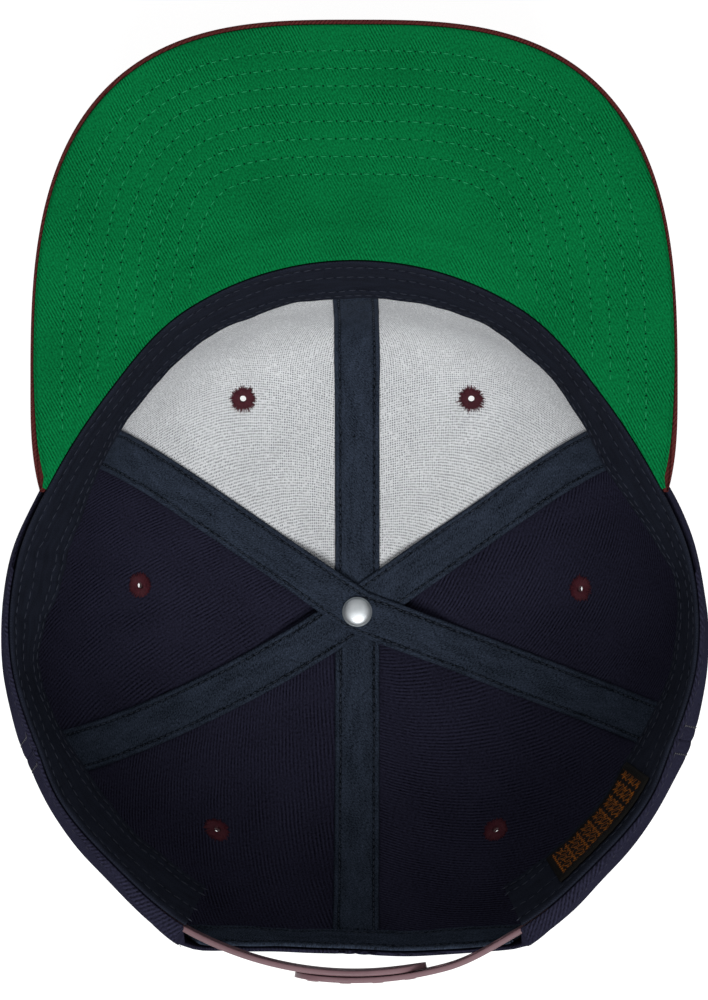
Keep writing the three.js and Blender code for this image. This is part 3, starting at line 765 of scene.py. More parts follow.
for name, (front, rear, layer, rear_depth, creases) in TAPES.items():
    path = tape_path(front, rear, rear_depth, 130)
    half = TAPE_WIDTH / 2
    share_across = np.linspace(-1, 1, 19)
    share_across = np.sign(share_across) * (1 - (1 - np.abs(share_across)) ** 1.35)
    across = np.broadcast_to(share_across * half, (len(path[0]), 19))
    centre = crown(*path[:2])
    run = run_along(centre)[:, None]
    from_edge = half - np.abs(across)
    groove = 0.34 * bell(from_edge, TAPE_STITCH_MARGIN, 0.5)
    flat = triples(across, run, layer * 50.0)
    uneven = 0.14 * ripple(flat * [0.8, 1, 1], 7, 21 + layer) + 0.1 * ripple(flat, 16, 31 + layer)
    puckers = 0.07 * np.sin(run * 2.1 + 3 * ripple(flat, 20, 41)) * bell(from_edge, 0, 2.4)
    folds = sum(size * bell(run + slant * across, at, 1.3) for at, slant, size in creases)
    above = tape_height(from_edge) - groove + uneven + puckers + folds
    face = tape_points(path, layer, across, np.maximum(above, 0.25))
    back = tape_points(path, layer, across, 0.0)
    cloth = triples(across, run, from_edge)
    tape = sheet(name.replace("tape", "seam_tape"), face, back, cloth, tape_finish, "seam_tape")
    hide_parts(name)
    for edge in (-1, 1):
        line = np.full((len(path[0]), 1), edge * (half - TAPE_STITCH_MARGIN))
        points = tape_points(path, layer, line, TAPE_WALL - TAPE_STITCH_SINK)[:, 0]
        STITCHES[f"{name}_stitches_{'a' if edge < 0 else 'b'}"] = (
            points,
            -look_up(CROWN_OUTWARD, *path[:2]),
            "tape",
        )


# Arch tape: the same cotton tape, sewn round the inside of the opening over the snap straps
# with a line of stitches along each of its edges.

ARCH_RUN = 60  # of tape for each radian round the arch
ARCH_TAPE_GAP = 0.9
STRAP_CLEARANCE = 22.5
ARCH_WIDTH = np.radians(ARCH_HALF_ANGLE) * fold_radius(180)


def arch_place(turn, outwards):
    """Angles and shares of points beside the arch, at a distance outside its edge."""
    square = lambda value: np.sign(value) * np.abs(value) ** (2 / ARCH_SQUARE)
    across = (ARCH_WIDTH + outwards) * square(np.cos(turn))
    depth = (ARCH_HEIGHT + outwards) * square(np.sin(turn))
    bearing = 180 - np.degrees(across / fold_radius(180))
    angle = np.where(bearing > 180, bearing - 360, bearing)
    return angle, share_at_depth(angle, depth)


low_turn = np.arcsin(STRAP_CLEARANCE / ARCH_HEIGHT)
turn = np.linspace(low_turn, np.pi - low_turn, 110)[:, None]
outwards = np.linspace(-0.1, ARCH_TAPE_WIDTH, 15)[None, :]
angle, share = arch_place(turn, outwards)
from_edge = np.minimum(outwards + 0.1, ARCH_TAPE_WIDTH - outwards) + 0 * turn
groove = 0.3 * bell(from_edge, TAPE_STITCH_MARGIN, 0.5)
inset = CLOTH_WALL + ARCH_TAPE_GAP
run = turn * ARCH_RUN
flat = triples(outwards, run, 0.0)
above = tape_height(from_edge) - groove + 0.12 * ripple(flat, 8, 51)
face = crown(angle, share, inset + above)
back = crown(angle, share, inset)
cloth = triples(outwards, run, from_edge)
arch_tape = sheet("arch_tape_cloth", face, back, cloth, tape_finish, "seam_tape")
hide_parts("arch_tape")
for mark, outwards in (("a", TAPE_STITCH_MARGIN), ("b", ARCH_TAPE_WIDTH - TAPE_STITCH_MARGIN)):
    angle, share = arch_place(turn[:, 0], outwards)
    points = crown(angle, share, inset + TAPE_WALL - TAPE_STITCH_SINK)
    inwards = -look_up(CROWN_OUTWARD, angle, share)
    STITCHES[f"arch_tape_stitches_{mark}"] = (points, inwards, "tape")


# Sweatband: a folded strip of navy cotton, sewn in round the head opening. Its fold lies at
# the rim, and its free lower edge is hemmed with two lines of stitches.

BAND_HEIGHT = 32
BAND_END = 150.5
BAND_STITCH_DEPTHS = (3.6, 12.5, 24.4, 29.4)
BAND_RIB_PITCH = 0.75

# Where the band's free edge leans to, as shares of the head's radius
BAND_TOP = np.array(
    [
        [-151, 0.912],
        [-119, 0.915],
        [-95, 0.964],
        [-82, 0.974],
        [-76, 0.937],
        [-66, 0.905],
        [-56, 0.892],
        [-36, 0.96],
        [-15, 0.988],
        [0, 0.983],
        [15, 0.988],
        [36, 0.951],
        [51, 0.914],
        [66, 0.892],
        [83, 0.899],
        [89, 0.942],
        [98, 0.965],
        [119, 0.925],
        [151, 0.916],
    ]
)


def band_point(angle, depth, inset):
    top = HEAD_RADIUS * smooth_value(BAND_TOP, 1, angle) + CLOTH_WALL
    lean = depth / BAND_HEIGHT
    return polar(angle, lerp(fold_radius(angle), top, lean) - inset, rim_height(angle) - depth)


def band_uneven(angle, depth):
    """How far the band's cloth stands off its even face: waves, puckers and a few folds."""
    run = np.radians(angle) * HEAD_RADIUS
    flat = triples(run, depth * 0.8, 0.0)
    waves = 0.5 * ripple(flat, 26, 61) * smoothstep(depth, 2, 30)
    folds = bell(angle, 80, 13) * 0.7 * ripple(flat * [1, 0.25, 1], 9, 62)
    creases = 0.12 * ripple(flat * [1, 0.6, 1], 6, 63)
    stitched = sum(bell(depth, at, 1.6) for at in BAND_STITCH_DEPTHS)
    puckers = 0.09 * np.sin(run * 2.0 + 3 * ripple(flat, 20, 64)) * stitched
    return waves + (folds + creases) * smoothstep(depth, 1, 8) + puckers


def band_cloth():
    """Fine twill of navy cotton, a little paler where it is handled."""
    finish = Finish("band cotton", 0.85, specular_ior_level=0.02)
    x, y, _, place = finish.along("cloth")
    rib = finish.sine((x + y * 1.2) * (2 * np.pi / BAND_RIB_PITCH))
    fibres = finish.noise(place, 2.4, 3.0, 0.7)
    wear_and_shade = finish.noise(finish.join(x * 0.12, y * 0.4), 0.9, 3.0, 0.6)
    bright = rib * 0.12 + (fibres - 0.5) * 1.1 + wear_and_shade * 0.6 + 0.11
    finish.set("Base Color", finish.blend(srgb(12, 13, 17), srgb(47, 52, 67), bright))
    finish.relief(rib * 0.3 + fibres * 0.6, 0.07)
    return finish


band_finish = band_cloth()
angle = np.linspace(-BAND_END, BAND_END, 640)[:, None]
inner_depths = np.concatenate(
    [[0.25, 0.6, 1.2, 2.0, 2.6, 3.1, 3.6, 4.1, 4.6, 5.4], np.linspace(6.8, 22.5, 9)]
    + [[23.4, 24.1, 24.6, 25.1, 25.8, 27.2, 28.4, 28.9, 29.4, 29.9, 30.6, 31.4, 31.8]]
)[None, :]
hem = 0.35 * smoothstep(inner_depths, 23.2, 24.2)
grooves = sum(0.28 * bell(inner_depths, at, 0.55) for at in BAND_STITCH_DEPTHS)
standing = CLOTH_WALL + hem - grooves + band_uneven(angle, inner_depths)
standing[:, :2] = [0.98, 1.16]
inner = band_point(angle, inner_depths, standing)
outer_depths = inner_depths[:, ::-1]
outer_inset = np.minimum(band_uneven(angle, outer_depths), 0.6) * smoothstep(outer_depths, 6, 20)
outer = band_point(angle, outer_depths, outer_inset)
outer[:, -1] = band_point(angle, 0.25, 0.2)[:, 0]
lip_depths = np.array([[-0.02, -0.1, -0.02]])
lip = band_point(angle, lip_depths, np.array([[0.45, 0.62, 0.8]]))
free_edge = band_point(angle, np.array([[32.2]]), 0.6 + band_uneven(angle, np.array([[32.0]])))
rings = np.concatenate([lip, inner, free_edge, outer], axis=1)
rings = np.concatenate([rings, rings[:, :1] * 0.5 + rings[:, -1:] * 0.5], axis=1)
depths = np.concatenate([lip_depths, inner_depths, [[32.2]], outer_depths, [[0]]], axis=1)
cloth = triples(np.radians(angle) * HEAD_RADIUS, depths, 0.0)
band = sweep("head_band", rings, cloth, band_finish, "band_cotton")
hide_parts("sweatband")
for number, depth in enumerate(BAND_STITCH_DEPTHS):
    inset = CLOTH_WALL + (0.35 if depth > 24 else 0) - 0.12 + band_uneven(angle, np.array([[depth]]))
    points = band_point(angle, np.array([[depth]]), inset)[:, 0]
    inwards = polar(angle[:, 0], -1.0, 0.0)
    STITCHES[f"band_stitches_{number}"] = (points, inwards, "band")


# Label: a black woven strip with folded ends, sewn to the band by the wearer's left temple.
# It carries an ornament of gold thread inside a plain border.

LABEL_FROM, LABEL_TO = -141, -117
LABEL_HEIGHT = 24
LABEL_DROP = 4.5


def label_cloth():
    """Fine satin weave, with an ornament of gold thread."""
    finish = Finish("woven label", 0.6, specular_ior_level=0.1)
    x, y, _, place = finish.along("cloth")

    def wave(value, period):
        return finish.sine(value * (2 * np.pi / period))

    threads = finish.noise(finish.join(x * 0.5, y * 3.2), 2.2, 2.0, 0.6)
    leaf = wave(x + wave(y, 7.4) * 1.1, 5.4) * wave(y + wave(x, 5.4) * 0.9, 7.4)
    scroll = wave(x + wave(y, 3.7) * 0.8, 2.6) * wave(y + wave(x, 2.6) * 0.7, 3.7)
    inside = finish.range(x, 2.0, 2.5) * finish.range(x, 38.4, 37.9)
    inside = inside * finish.range(y, 2.6, 3.0) * finish.range(y, 21.4, 21.0)
    ring = finish.range(leaf, 0.16, 0.24) * finish.range(leaf, 0.56, 0.44)
    curl = finish.range(scroll, 0.2, 0.34) * finish.range(leaf, 0.0, -0.12)
    gold = (ring + curl) * inside * finish.range(threads, 0.22, 0.42)
    ground = finish.blend(srgb(11, 10, 9), srgb(27, 25, 22), threads)
    finish.set("Base Color", finish.blend(ground, srgb(158, 90, 22), gold))
    finish.relief(threads * 0.5 + gold * 0.8, 0.1)
    return finish


label_finish = label_cloth()
angle = np.linspace(LABEL_FROM, LABEL_TO, 60)[:, None]
depth = np.linspace(LABEL_DROP, LABEL_DROP + LABEL_HEIGHT, 26)[None, :]
rise = np.minimum(np.minimum(angle - LABEL_FROM, LABEL_TO - angle) * 1.69, 1.2) / 1.2
rise = np.minimum(rise, np.minimum(depth - LABEL_DROP, LABEL_DROP + LABEL_HEIGHT - depth) / 0.8)
uneven = band_uneven(angle, depth)
base = CLOTH_WALL + 0.4 + uneven
face = band_point(angle, depth, base + 0.25 + 0.45 * np.sqrt(np.clip(rise, 0, 1)))
back = band_point(angle, depth, base)
run = np.radians(angle - LABEL_FROM) * HEAD_RADIUS
cloth = triples(run, depth - LABEL_DROP, 0.0)
label = sheet("band_label", face, back, cloth, label_finish, "label_weave")
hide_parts("inner_label")


# Visor: a stiff board between two cloths. The dark red cover wraps its upper face, which
# looks at the floor here, and rolls over its edge; the green cloth lines its underside.

VISOR_LENGTH = 68.0
VISOR_HALF_WIDTH = 91.3
VISOR_CENTRE = 67
VISOR_BACK = 66
VISOR_SQUARE = 2.95
UNDERSIDE_TIP = 65.8
VISOR_EDGE = 1.4
VISOR_EDGE_GROWTH = 1.5
STITCH_ROWS = [9 + 5 * row for row in range(8)]  # from the visor's edge
ROW_CLEARANCE = 4.5  # from the last stitches to the crown


def visor_inner(angle):
    return fold_radius(angle) + LAYER_GAP


def visor_outline(count):
    """The visor's edge from one tip round the front to the other, evenly spaced."""
    front = visor_inner(0) + VISOR_LENGTH
    tip_y = VISOR_CENTRE - visor_inner(VISOR_TIP) * np.cos(np.radians(VISOR_TIP))
    tip_turn = np.pi / 2 + np.arcsin((tip_y / VISOR_BACK) ** (VISOR_SQUARE / 2))
    turn = np.linspace(-tip_turn, tip_turn, 4001)
    across, ahead = np.abs(np.sin(turn)), np.cos(turn)
    half = np.where(ahead > 0, front - VISOR_CENTRE, VISOR_BACK)
    x = VISOR_HALF_WIDTH * np.sign(turn) * across ** (2 / VISOR_SQUARE)
    y = -VISOR_CENTRE - half * np.sign(ahead) * np.abs(ahead) ** (2 / VISOR_SQUARE)
    line = np.stack([x, y], axis=1)
    run = run_along(line)
    even = np.linspace(0, run[-1], count)
    return np.stack([np.interp(even, run, line[:, 0]), np.interp(even, run, line[:, 1])], axis=1)


OUTLINE = visor_outline(701)


def from_outline(points):
    """The distance from points of the visor to its edge."""
    flat = points[..., :2].reshape(-1, 2)
    nearest = np.full(len(flat), 1e9)
    for start in range(0, len(OUTLINE), 50):
        gap = flat[:, None] - OUTLINE[None, start : start + 50]
        nearest = np.minimum(nearest, flat_length(gap).min(axis=1))
    return nearest.reshape(points.shape[:-1])


def visor_grid(reach, count, outwards):
    """Points across the visor: outwards gives, for each station's length, where they lie."""
    place = np.linspace(-1, 1, count)
    place = np.sign(place) * (1 - (1 - np.abs(place)) ** 1.15) * reach
    inner = polar(place * VISOR_TIP, visor_inner(place * VISOR_TIP), 0.0)
    picks = (place + 1) / 2 * (len(OUTLINE) - 1)
    outer = np.stack([np.interp(picks, np.arange(len(OUTLINE)), OUTLINE[:, i]) for i in (0, 1)], axis=1)
    outer = np.concatenate([outer, np.zeros((count, 1))], axis=1)
    length = np.linalg.norm(outer - inner, axis=1)[:, None]
    share = outwards(length, edge_width(outer)[:, None]) / length
    points = inner[:, None] + (outer - inner)[:, None] * share[..., None]
    points[..., 2] = visor_lift(points[..., 0])
    return points


def pressed_rows(distance, points):
    """How far the rows of stitches press the visor's cloth in, and its puff between them."""
    rows = sum(bell(distance, row, 0.75) for row in STITCH_ROWS)
    behind = flat_length(points) - visor_inner(angle_of(points))
    return rows * smoothstep(behind, ROW_CLEARANCE - 2, ROW_CLEARANCE), behind


green_twill = twill(
    "green twill", (1, 42, 17), (16, 150, 82), 0.8, roughness=0.85, relief=0.14, fuzz=1.0
)
red_twill = twill(
    "dark red twill", (40, 13, 13), (116, 56, 54), 0.9, roughness=0.85, relief=0.12, fuzz=0.7
)
GREEN_RIB_TURN = np.radians(62)
RED_RIB_TURN = np.radians(-50)


def visor_cloth(points, turn, depth):
    x, y = points[..., 0], points[..., 1]
    across = x * np.sin(turn) + y * np.cos(turn)
    along = -x * np.cos(turn) + y * np.sin(turn)
    return triples(across, along, depth)


def edge_width(points):
    """How much of the cover's rolled edge shows: more towards the visor's tips."""
    return VISOR_EDGE + VISOR_EDGE_GROWTH * smoothstep(points[..., 1], -78, -40)


def lining_marks(length, edge):
    end = length - np.minimum(edge + 0.15, length * 0.6)
    inside = np.linspace(0, 1, 78)[None, :] ** 0.95 * (end - 0.9) - 0.3
    return np.concatenate([inside, end - 0.8, end - 0.4, end - 0.12, end], axis=1)


UNDERSIDE_REACH = UNDERSIDE_TIP / VISOR_TIP


def lining_rise(points):
    """How far the lining's face stands above the board's even curve."""
    distance = from_outline(points)
    rows, behind = pressed_rows(distance, points)
    ridge = 0.5 * bell(behind, 8.5, 2.2) + 0.25 * smoothstep(behind, 9, 2)
    drop = 0.75 * (1 - rounded(distance - edge_width(points), 1.3))
    return ridge - 0.2 * rows - drop + 0.1 * ripple(points, 22, 71)


points = visor_grid(UNDERSIDE_REACH, 300, lining_marks)
face = points.copy()
face[..., 2] += lining_rise(points)
back = points.copy()
back[..., 2] -= CLOTH_WALL
cloth = visor_cloth(face, GREEN_RIB_TURN, 0.0)
lining = sheet("visor_lining", face, back, cloth, green_twill, "underside_twill")
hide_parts("visor_underside")

COVER_MARKS = [  # from the visor's edge and above the underside's face, round the rolled edge
    (6.0, -3.0),
    (3.6, -3.0),
    (2.2, -2.98),
    (1.2, -2.86),
    (0.55, -2.55),
    (0.15, -2.1),
    (0.0, -1.5),
    (0.1, -0.9),
    (0.4, -0.4),
    (0.8, -0.14),
    (1.15, -0.16),
    (1.4, -0.42),
    (1.5, -0.9),
    (1.55, -1.45),
    (2.1, -1.5),
    (3.6, -1.5),
    (6.0, -1.5),
]


def cover_rings(count):
    across = np.linspace(0, 1, 56)[None, :-1]

    def marks(length, edge):
        even = np.array([[mark[0] for mark in COVER_MARKS]])
        edges = even + (edge - 1.5) * np.minimum(even / 1.5, 1)
        edges = edges * np.minimum(1, length * 0.6 / edges[:, :1])
        inner = across * (length - edges[:, :1])
        return np.concatenate([inner, length - edges, inner[:, ::-1]], axis=1)

    points = visor_grid(1.0, count, marks)
    heights = np.concatenate([np.full(55, -3.0), [mark[1] for mark in COVER_MARKS], np.full(55, -1.5)])
    return points, heights


points, heights = cover_rings(320)
distance = from_outline(points)
rows, behind = pressed_rows(distance, points)
outside = (heights < -2.9)[None, :]
points[..., 2] += heights + outside * (0.24 * rows - 0.08 * ripple(points, 22, 72))
cloth = visor_cloth(points, RED_RIB_TURN, heights)
cover = sweep("visor_cover", points, cloth, red_twill, "cover_twill")
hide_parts("visor_top")

inward = np.gradient(OUTLINE, axis=0)
inward = np.stack([-inward[:, 1], inward[:, 0]], axis=1) / np.linalg.norm(inward, axis=1)[:, None]
inward *= np.sign(inward[350] @ np.array([0, 1]))
for number, row in enumerate(STITCH_ROWS):
    line = OUTLINE + inward * row
    line = np.concatenate([line, np.zeros((len(line), 1))], axis=1)
    angle = angle_of(line)
    kept = from_outline(line) > row - 0.15
    kept &= flat_length(line) > visor_inner(angle) + ROW_CLEARANCE
    kept &= np.abs(angle) < UNDERSIDE_TIP + 4
    line = line[kept]
    line[:, 2] = visor_lift(line[:, 0])
    below = line - [0, 0, 2.82]
    line[:, 2] += lining_rise(line) + 0.06
    up = np.tile([0, 0, 1.0], (len(line), 1))
    STITCHES[f"lining_stitches_{number}"] = (line, up, "green")
    STITCHES[f"cover_stitches_{number}"] = (below, -up, "red")


# Snap closure: two straps of slightly clear plum plastic, moulded with round studs and with
# holes. Each is sewn in between the band and a corner of the crown; four studs are fastened.

SHARP_EDGE = np.radians(35)
STRAP_WIDTH = 19
STRAP_WALL = 1.6
STRAP_DROP = 1.5
STRAP_LEAN = 2.4  # of the edge at the rim, inwards
STRAP_ROOT = 145.5
STUD_STRAP_END = 192
HOLE_STRAP_END = 170.3
STUD_COUNT = 4
HOLE_COUNT = 7
STUD_END_MARGIN = 3
STUD_RADIUS = 2
STRAP_RADIUS = float(rim_radius(BAND_END)) - CLOTH_WALL - LAYER_GAP
STRAP_MIDDLE = -STRAP_DROP - STRAP_WIDTH / 2
STUD_PITCH = (STUD_STRAP_END - HOLE_STRAP_END - 2 * STUD_END_MARGIN) / (STUD_COUNT - 1)


def strap_plastic():
    """Moulded plastic with a soft gloss, its colour and gloss clouded at random."""
    finish = Finish("plum plastic", 0.4, specular_ior_level=0.3)
    place = finish.node("ShaderNodeTexCoord", out="Object")
    cloud = finish.noise(place, 60.0, 3.0)
    grain = finish.noise(place, 900.0, 2.0)
    tone = cloud * 0.8 + grain * 0.2
    finish.set("Base Color", finish.blend(srgb(92, 62, 68), srgb(136, 106, 112), tone))
    finish.set("Roughness", finish.range(cloud * 0.6 + grain * 0.4, 0.3, 0.7, 0.34, 0.54))
    finish.relief(grain, 0.02)
    return finish


strap_finish = strap_plastic()


def strap_rings(side, end, lift, count=150):
    """A curved strap with rounded corners, a rounded end and a fine raised rim."""
    per_mm = np.degrees(1 / STRAP_RADIUS)
    round_start = end - STRAP_WIDTH / 2 * per_mm
    bearing = np.concatenate(
        [
            np.linspace(STRAP_ROOT, round_start, count),
            round_start + (end - round_start) * np.sin(np.radians(np.linspace(0, 89.4, 26)[1:])),
        ]
    )
    past = np.maximum(bearing - round_start, 0) / (end - round_start)
    half = STRAP_WIDTH / 2 * np.sqrt(1 - past**2)
    limit = rim_radius(bearing) - CLOTH_WALL - LAYER_GAP
    radius = np.where(bearing < 180 - ARCH_HALF_ANGLE, np.minimum(STRAP_RADIUS, limit), STRAP_RADIUS)
    radius = radius + lift(bearing)
    corner = 0.4
    turns = np.radians([0, 30, 60, 90])
    marks = []  # shares of the half-width less the corner, and the inset
    for place in np.linspace(-1, 1, 9):
        marks.append((place, 0.0, 0.0))
    for t in turns[1:]:
        marks.append((1, corner * np.sin(t), corner * (1 - np.cos(t))))
    for t in turns[::-1]:
        marks.append((1, corner * np.sin(t), STRAP_WALL - corner * (1 - np.cos(t))))
    for place in np.linspace(1, -1, 9)[1:]:
        marks.append((place, 0.0, STRAP_WALL))
    for t in turns[1:]:
        marks.append((-1, -corner * np.sin(t), STRAP_WALL - corner * (1 - np.cos(t))))
    for t in turns[1:][::-1]:
        marks.append((-1, -corner * np.sin(t), corner * (1 - np.cos(t))))
    share, extra, inset = np.array(marks).T
    body = np.maximum(half - corner, 0.02)[:, None]
    z = STRAP_MIDDLE + body * share + extra * np.minimum(half[:, None] / corner, 1)
    lean = STRAP_LEAN * smoothstep(bearing, STRAP_ROOT, 180 - ARCH_HALF_ANGLE)[:, None]
    radius = radius[:, None] - lean * (1 + (z + STRAP_DROP) / STRAP_WIDTH)
    return polar(side * bearing[:, None], radius - inset, z)


def strap_lift(bearing):
    passed = STRAP_WALL + LAYER_GAP
    return passed * smoothstep(bearing, 180 - ARCH_HALF_ANGLE, 360 - STUD_STRAP_END - 3)


def square_to(axis):
    """Two directions square to an axis and to each other."""
    side = np.cross(axis, [0.3, 0.9, 0.1])
    side /= np.linalg.norm(side)
    return side, np.cross(axis, side)


def turned(name, profile, centre, axis, finish, slot, sides=32):
    """A lathe-turned piece: its profile in mm as radius and height along an axis."""
    profile = np.array(profile, dtype=float)
    turn = np.linspace(0, 2 * np.pi, sides, endpoint=False)
    axis = np.asarray(axis, dtype=float) / np.linalg.norm(axis)
    side, other = square_to(axis)
    rim = np.cos(turn)[:, None] * side + np.sin(turn)[:, None] * other
    closed = profile[(profile[:, 0] > 1e-6)]
    rings = centre + rim[None] * closed[:, :1, None] + axis * closed[:, 1:, None]
    points = rings.reshape(-1, 3)
    faces = ring_faces(len(closed), sides)
    last = (len(closed) - 1) * sides
    ends = []
    for start, at, way in ((0, profile[0], -1), (last, profile[-1], 1)):
        if at[0] <= 1e-6:
            number = len(points) + len(ends)
            ends.append(centre + axis * at[1])
            faces += [[start + k, start + (k + 1) % sides, number][::way] for k in range(sides)]
    if ends:
        points = np.concatenate([points, ends])
    else:
        beside = [(k + 1) % sides for k in range(sides)]
        faces += [[last + k, last + n, n, k] for k, n in enumerate(beside)]
    cloth = np.stack([(points - centre) @ way for way in (side, other, axis)], axis=-1)
    faces = facing_out(points - centre, faces)
    return new_piece(name, to_floor(points), faces, finish.material, slot, {"cloth": cloth})


def baked(piece):
    """The piece's mesh as its modifiers leave it, which are then dropped."""
    evaluated = piece.evaluated_get(bpy.context.evaluated_depsgraph_get())
    mesh = bpy.data.meshes.new_from_object(evaluated)
    piece.modifiers.clear()
    return mesh


def cut(piece, cutters):
    """Cuts holes in a closed piece."""
    for cutter in cutters:
        modifier = piece.modifiers.new("cut", "BOOLEAN")
        modifier.operation = "DIFFERENCE"
        modifier.solver = "EXACT"
        modifier.object = cutter
    mesh = baked(piece)
    if "cloth" in piece.data.attributes:
        keep_cloth(piece.data, mesh)
    piece.data = mesh
    for cutter in cutters:
        bpy.data.objects.remove(cutter)


def keep_cloth(whole, drilled):
    """Gives a drilled sheet's points the places on the cloth that they had before."""
    finder = KDTree(len(whole.vertices))
    for number, vertex in enumerate(whole.vertices):
        finder.insert(vertex.co, number)
    finder.balance()
    nearest = [finder.find(vertex.co)[1] for vertex in drilled.vertices]
    places = np.empty(len(whole.vertices) * 3, dtype=np.float32)
    whole.attributes["cloth"].data.foreach_get("vector", places)
    if "cloth" in drilled.attributes:
        drilled.attributes.remove(drilled.attributes["cloth"])
    store(drilled, "cloth", places.reshape(-1, 3)[nearest])


def strap_piece(name, rings):
    """A strap's body, not yet placed on the cap, with a flat cap at each end."""
    count, around = rings.shape[:2]
    first = list(range(around))
    faces = ring_faces(count, around) + [first[::-1], [i + (count - 1) * around for i in first]]
    points = rings.reshape(-1, 3)
    return new_piece(name, to_floor(points), facing_out(points, faces), strap_finish.material, None)


def on_strap(name, bearing, profile, sides):
    """A turned piece that stands on the straps' middle line at a bearing."""
    centre = polar(bearing, STRAP_RADIUS - STRAP_LEAN / 2, STRAP_MIDDLE)
    outwards = polar(bearing, STRAP_WIDTH, STRAP_LEAN)
    return turned(name, profile, centre, outwards, strap_finish, None, sides)


stud_bearings = STUD_STRAP_END - STUD_END_MARGIN - np.arange(STUD_COUNT) * STUD_PITCH
hole_bearings = HOLE_STRAP_END + STUD_END_MARGIN + np.arange(HOLE_COUNT) * STUD_PITCH
rings = strap_rings(1, STUD_STRAP_END, lambda bearing: 0 * bearing)
stud_strap = strap_piece("snap_strap_studs", rings)
hole_strap = strap_piece("snap_strap_holes", strap_rings(-1, 360 - HOLE_STRAP_END, strap_lift))
reach = STUD_RADIUS + LAYER_GAP
profile = [(0, -5), (reach, -5), (reach, 9), (0, 9)]
cut(hole_strap, [on_strap("drill", bearing, profile, 28) for bearing in hole_bearings])
top = STRAP_WALL + LAYER_GAP + 0.5
profile = [
    (0, -0.8),
    (1.6, -0.8),
    (1.6, -0.3),
    (1.45, 0.4),
    (1.45, top - 1.3),
    (1.75, top - 1.0),
    (STUD_RADIUS, top - 0.6),
    (1.9, top - 0.2),
    (1.5, top),
    (0.7, top + 0.02),
    (0, top - 0.1),
]
studs = [on_strap("stud", bearing, profile, 20) for bearing in stud_bearings]
joined = [stud_strap, *studs]
with bpy.context.temp_override(active_object=stud_strap, selected_editable_objects=joined):
    bpy.ops.object.join()
for strap, node in ((stud_strap, "strap_studs"), (hole_strap, "strap_holes")):
    strap.data.shade_smooth()
    strap.data.set_sharp_from_angle(angle=SHARP_EDGE)
    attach(strap, "root")
    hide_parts(node)


# Button and rivet: a metal button covered with the visor's dark red cloth, on the outside of
# the crown's top, and the pressed silver rivet inside that holds it and the tapes.

RIVET_RADIUS = 4.75
RIVET_HEIGHT = 2.2
RIVET_SEAT = CROWN_HEIGHT - (TAPE_FRONT_INSET + 3 * TAPE_WALL + 3 * LAYER_GAP)
POST_RADIUS = 1.6
POST_REACH = 2

dome = [
    (BUTTON_SPHERE * np.sin(t), -(SPHERE_DEPTH + BUTTON_SPHERE * np.cos(t)))
    for t in np.linspace(0, np.arcsin(BUTTON_RADIUS / BUTTON_SPHERE), 16)
]
bore = POST_RADIUS + LAYER_GAP
bore_depth = -(BUTTON_TOP + POST_REACH + LAYER_GAP)
profile = [
    *dome[:-1],
    (BUTTON_RADIUS, -BUTTON_TOP - 0.35),
    (BUTTON_RADIUS - 0.1, -BUTTON_TOP - 0.1),
    (BUTTON_RADIUS - 0.5, -BUTTON_TOP),
    (bore, -BUTTON_TOP),
    (bore, bore_depth),
    (0, bore_depth),
]
button = turned("crown_button", profile, np.zeros(3), (0, 0, 1), red_twill, None, 72)
places = np.array([vertex.co[:] for vertex in button.data.vertices])
places[:, 2] = np.maximum(places[:, 2], 0)
button.data.vertices.foreach_set("co", places.ravel())
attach(button, "root")
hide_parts("top_button")


def rivet_metal():
    """Pressed metal with a satin face and a few hair scratches; its rim and the foot of its dome are
    darkened by painted shade.
    """
    finish = Finish("rivet metal", 0.4, metallic=0.7)
    place = finish.node("ShaderNodeTexCoord", out="Object")
    cloud = finish.noise(place, 420.0, 3.0, 0.6)
    grain = finish.noise(place, 3000.0, 2.0)
    _, _, height, _ = finish.along("cloth")
    # Painted shade: darker at the rim and the dome's foot, lighter towards the dome's top.
    wear_and_shade = finish.range(height, -(RIVET_SEAT - 0.1), -(RIVET_SEAT - 1.4), 0.0, 0.65)
    tone = wear_and_shade + cloud * 0.35
    finish.set("Base Color", finish.blend(srgb(150, 160, 166), srgb(224, 229, 232), tone))
    finish.set("Roughness", finish.range(cloud * 0.5 + grain * 0.5, 0.3, 0.7, 0.36, 0.5))
    finish.relief(grain * 0.4 + cloud, 0.03)
    return finish


rivet_finish = rivet_metal()
dome_radius = RIVET_RADIUS - 0.42
dome_foot = 0.62
head = [
    (RIVET_RADIUS, -RIVET_SEAT),
    (RIVET_RADIUS + 0.02, -(RIVET_SEAT - 0.15)),
    (RIVET_RADIUS, -(RIVET_SEAT - 0.34)),
    (RIVET_RADIUS - 0.12, -(RIVET_SEAT - 0.5)),
    (RIVET_RADIUS - 0.3, -(RIVET_SEAT - 0.56)),
    (dome_radius, -(RIVET_SEAT - dome_foot)),
]
for t in np.linspace(0, np.pi / 2, 14)[1:-1]:
    height = RIVET_SEAT - dome_foot - (RIVET_HEIGHT - dome_foot) * np.sin(t) ** 0.85
    head.append((dome_radius * np.cos(t), -height))
profile = [
    (0, -(BUTTON_TOP + POST_REACH)),
    (POST_RADIUS, -(BUTTON_TOP + POST_REACH)),
    (POST_RADIUS, -RIVET_SEAT),
    *head,
    (0, -(RIVET_SEAT - RIVET_HEIGHT)),
]
rivet = turned("inner_rivet", profile, np.zeros(3), (0, 0, 1), rivet_finish, "rivet_metal", 64)
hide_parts("rivet")
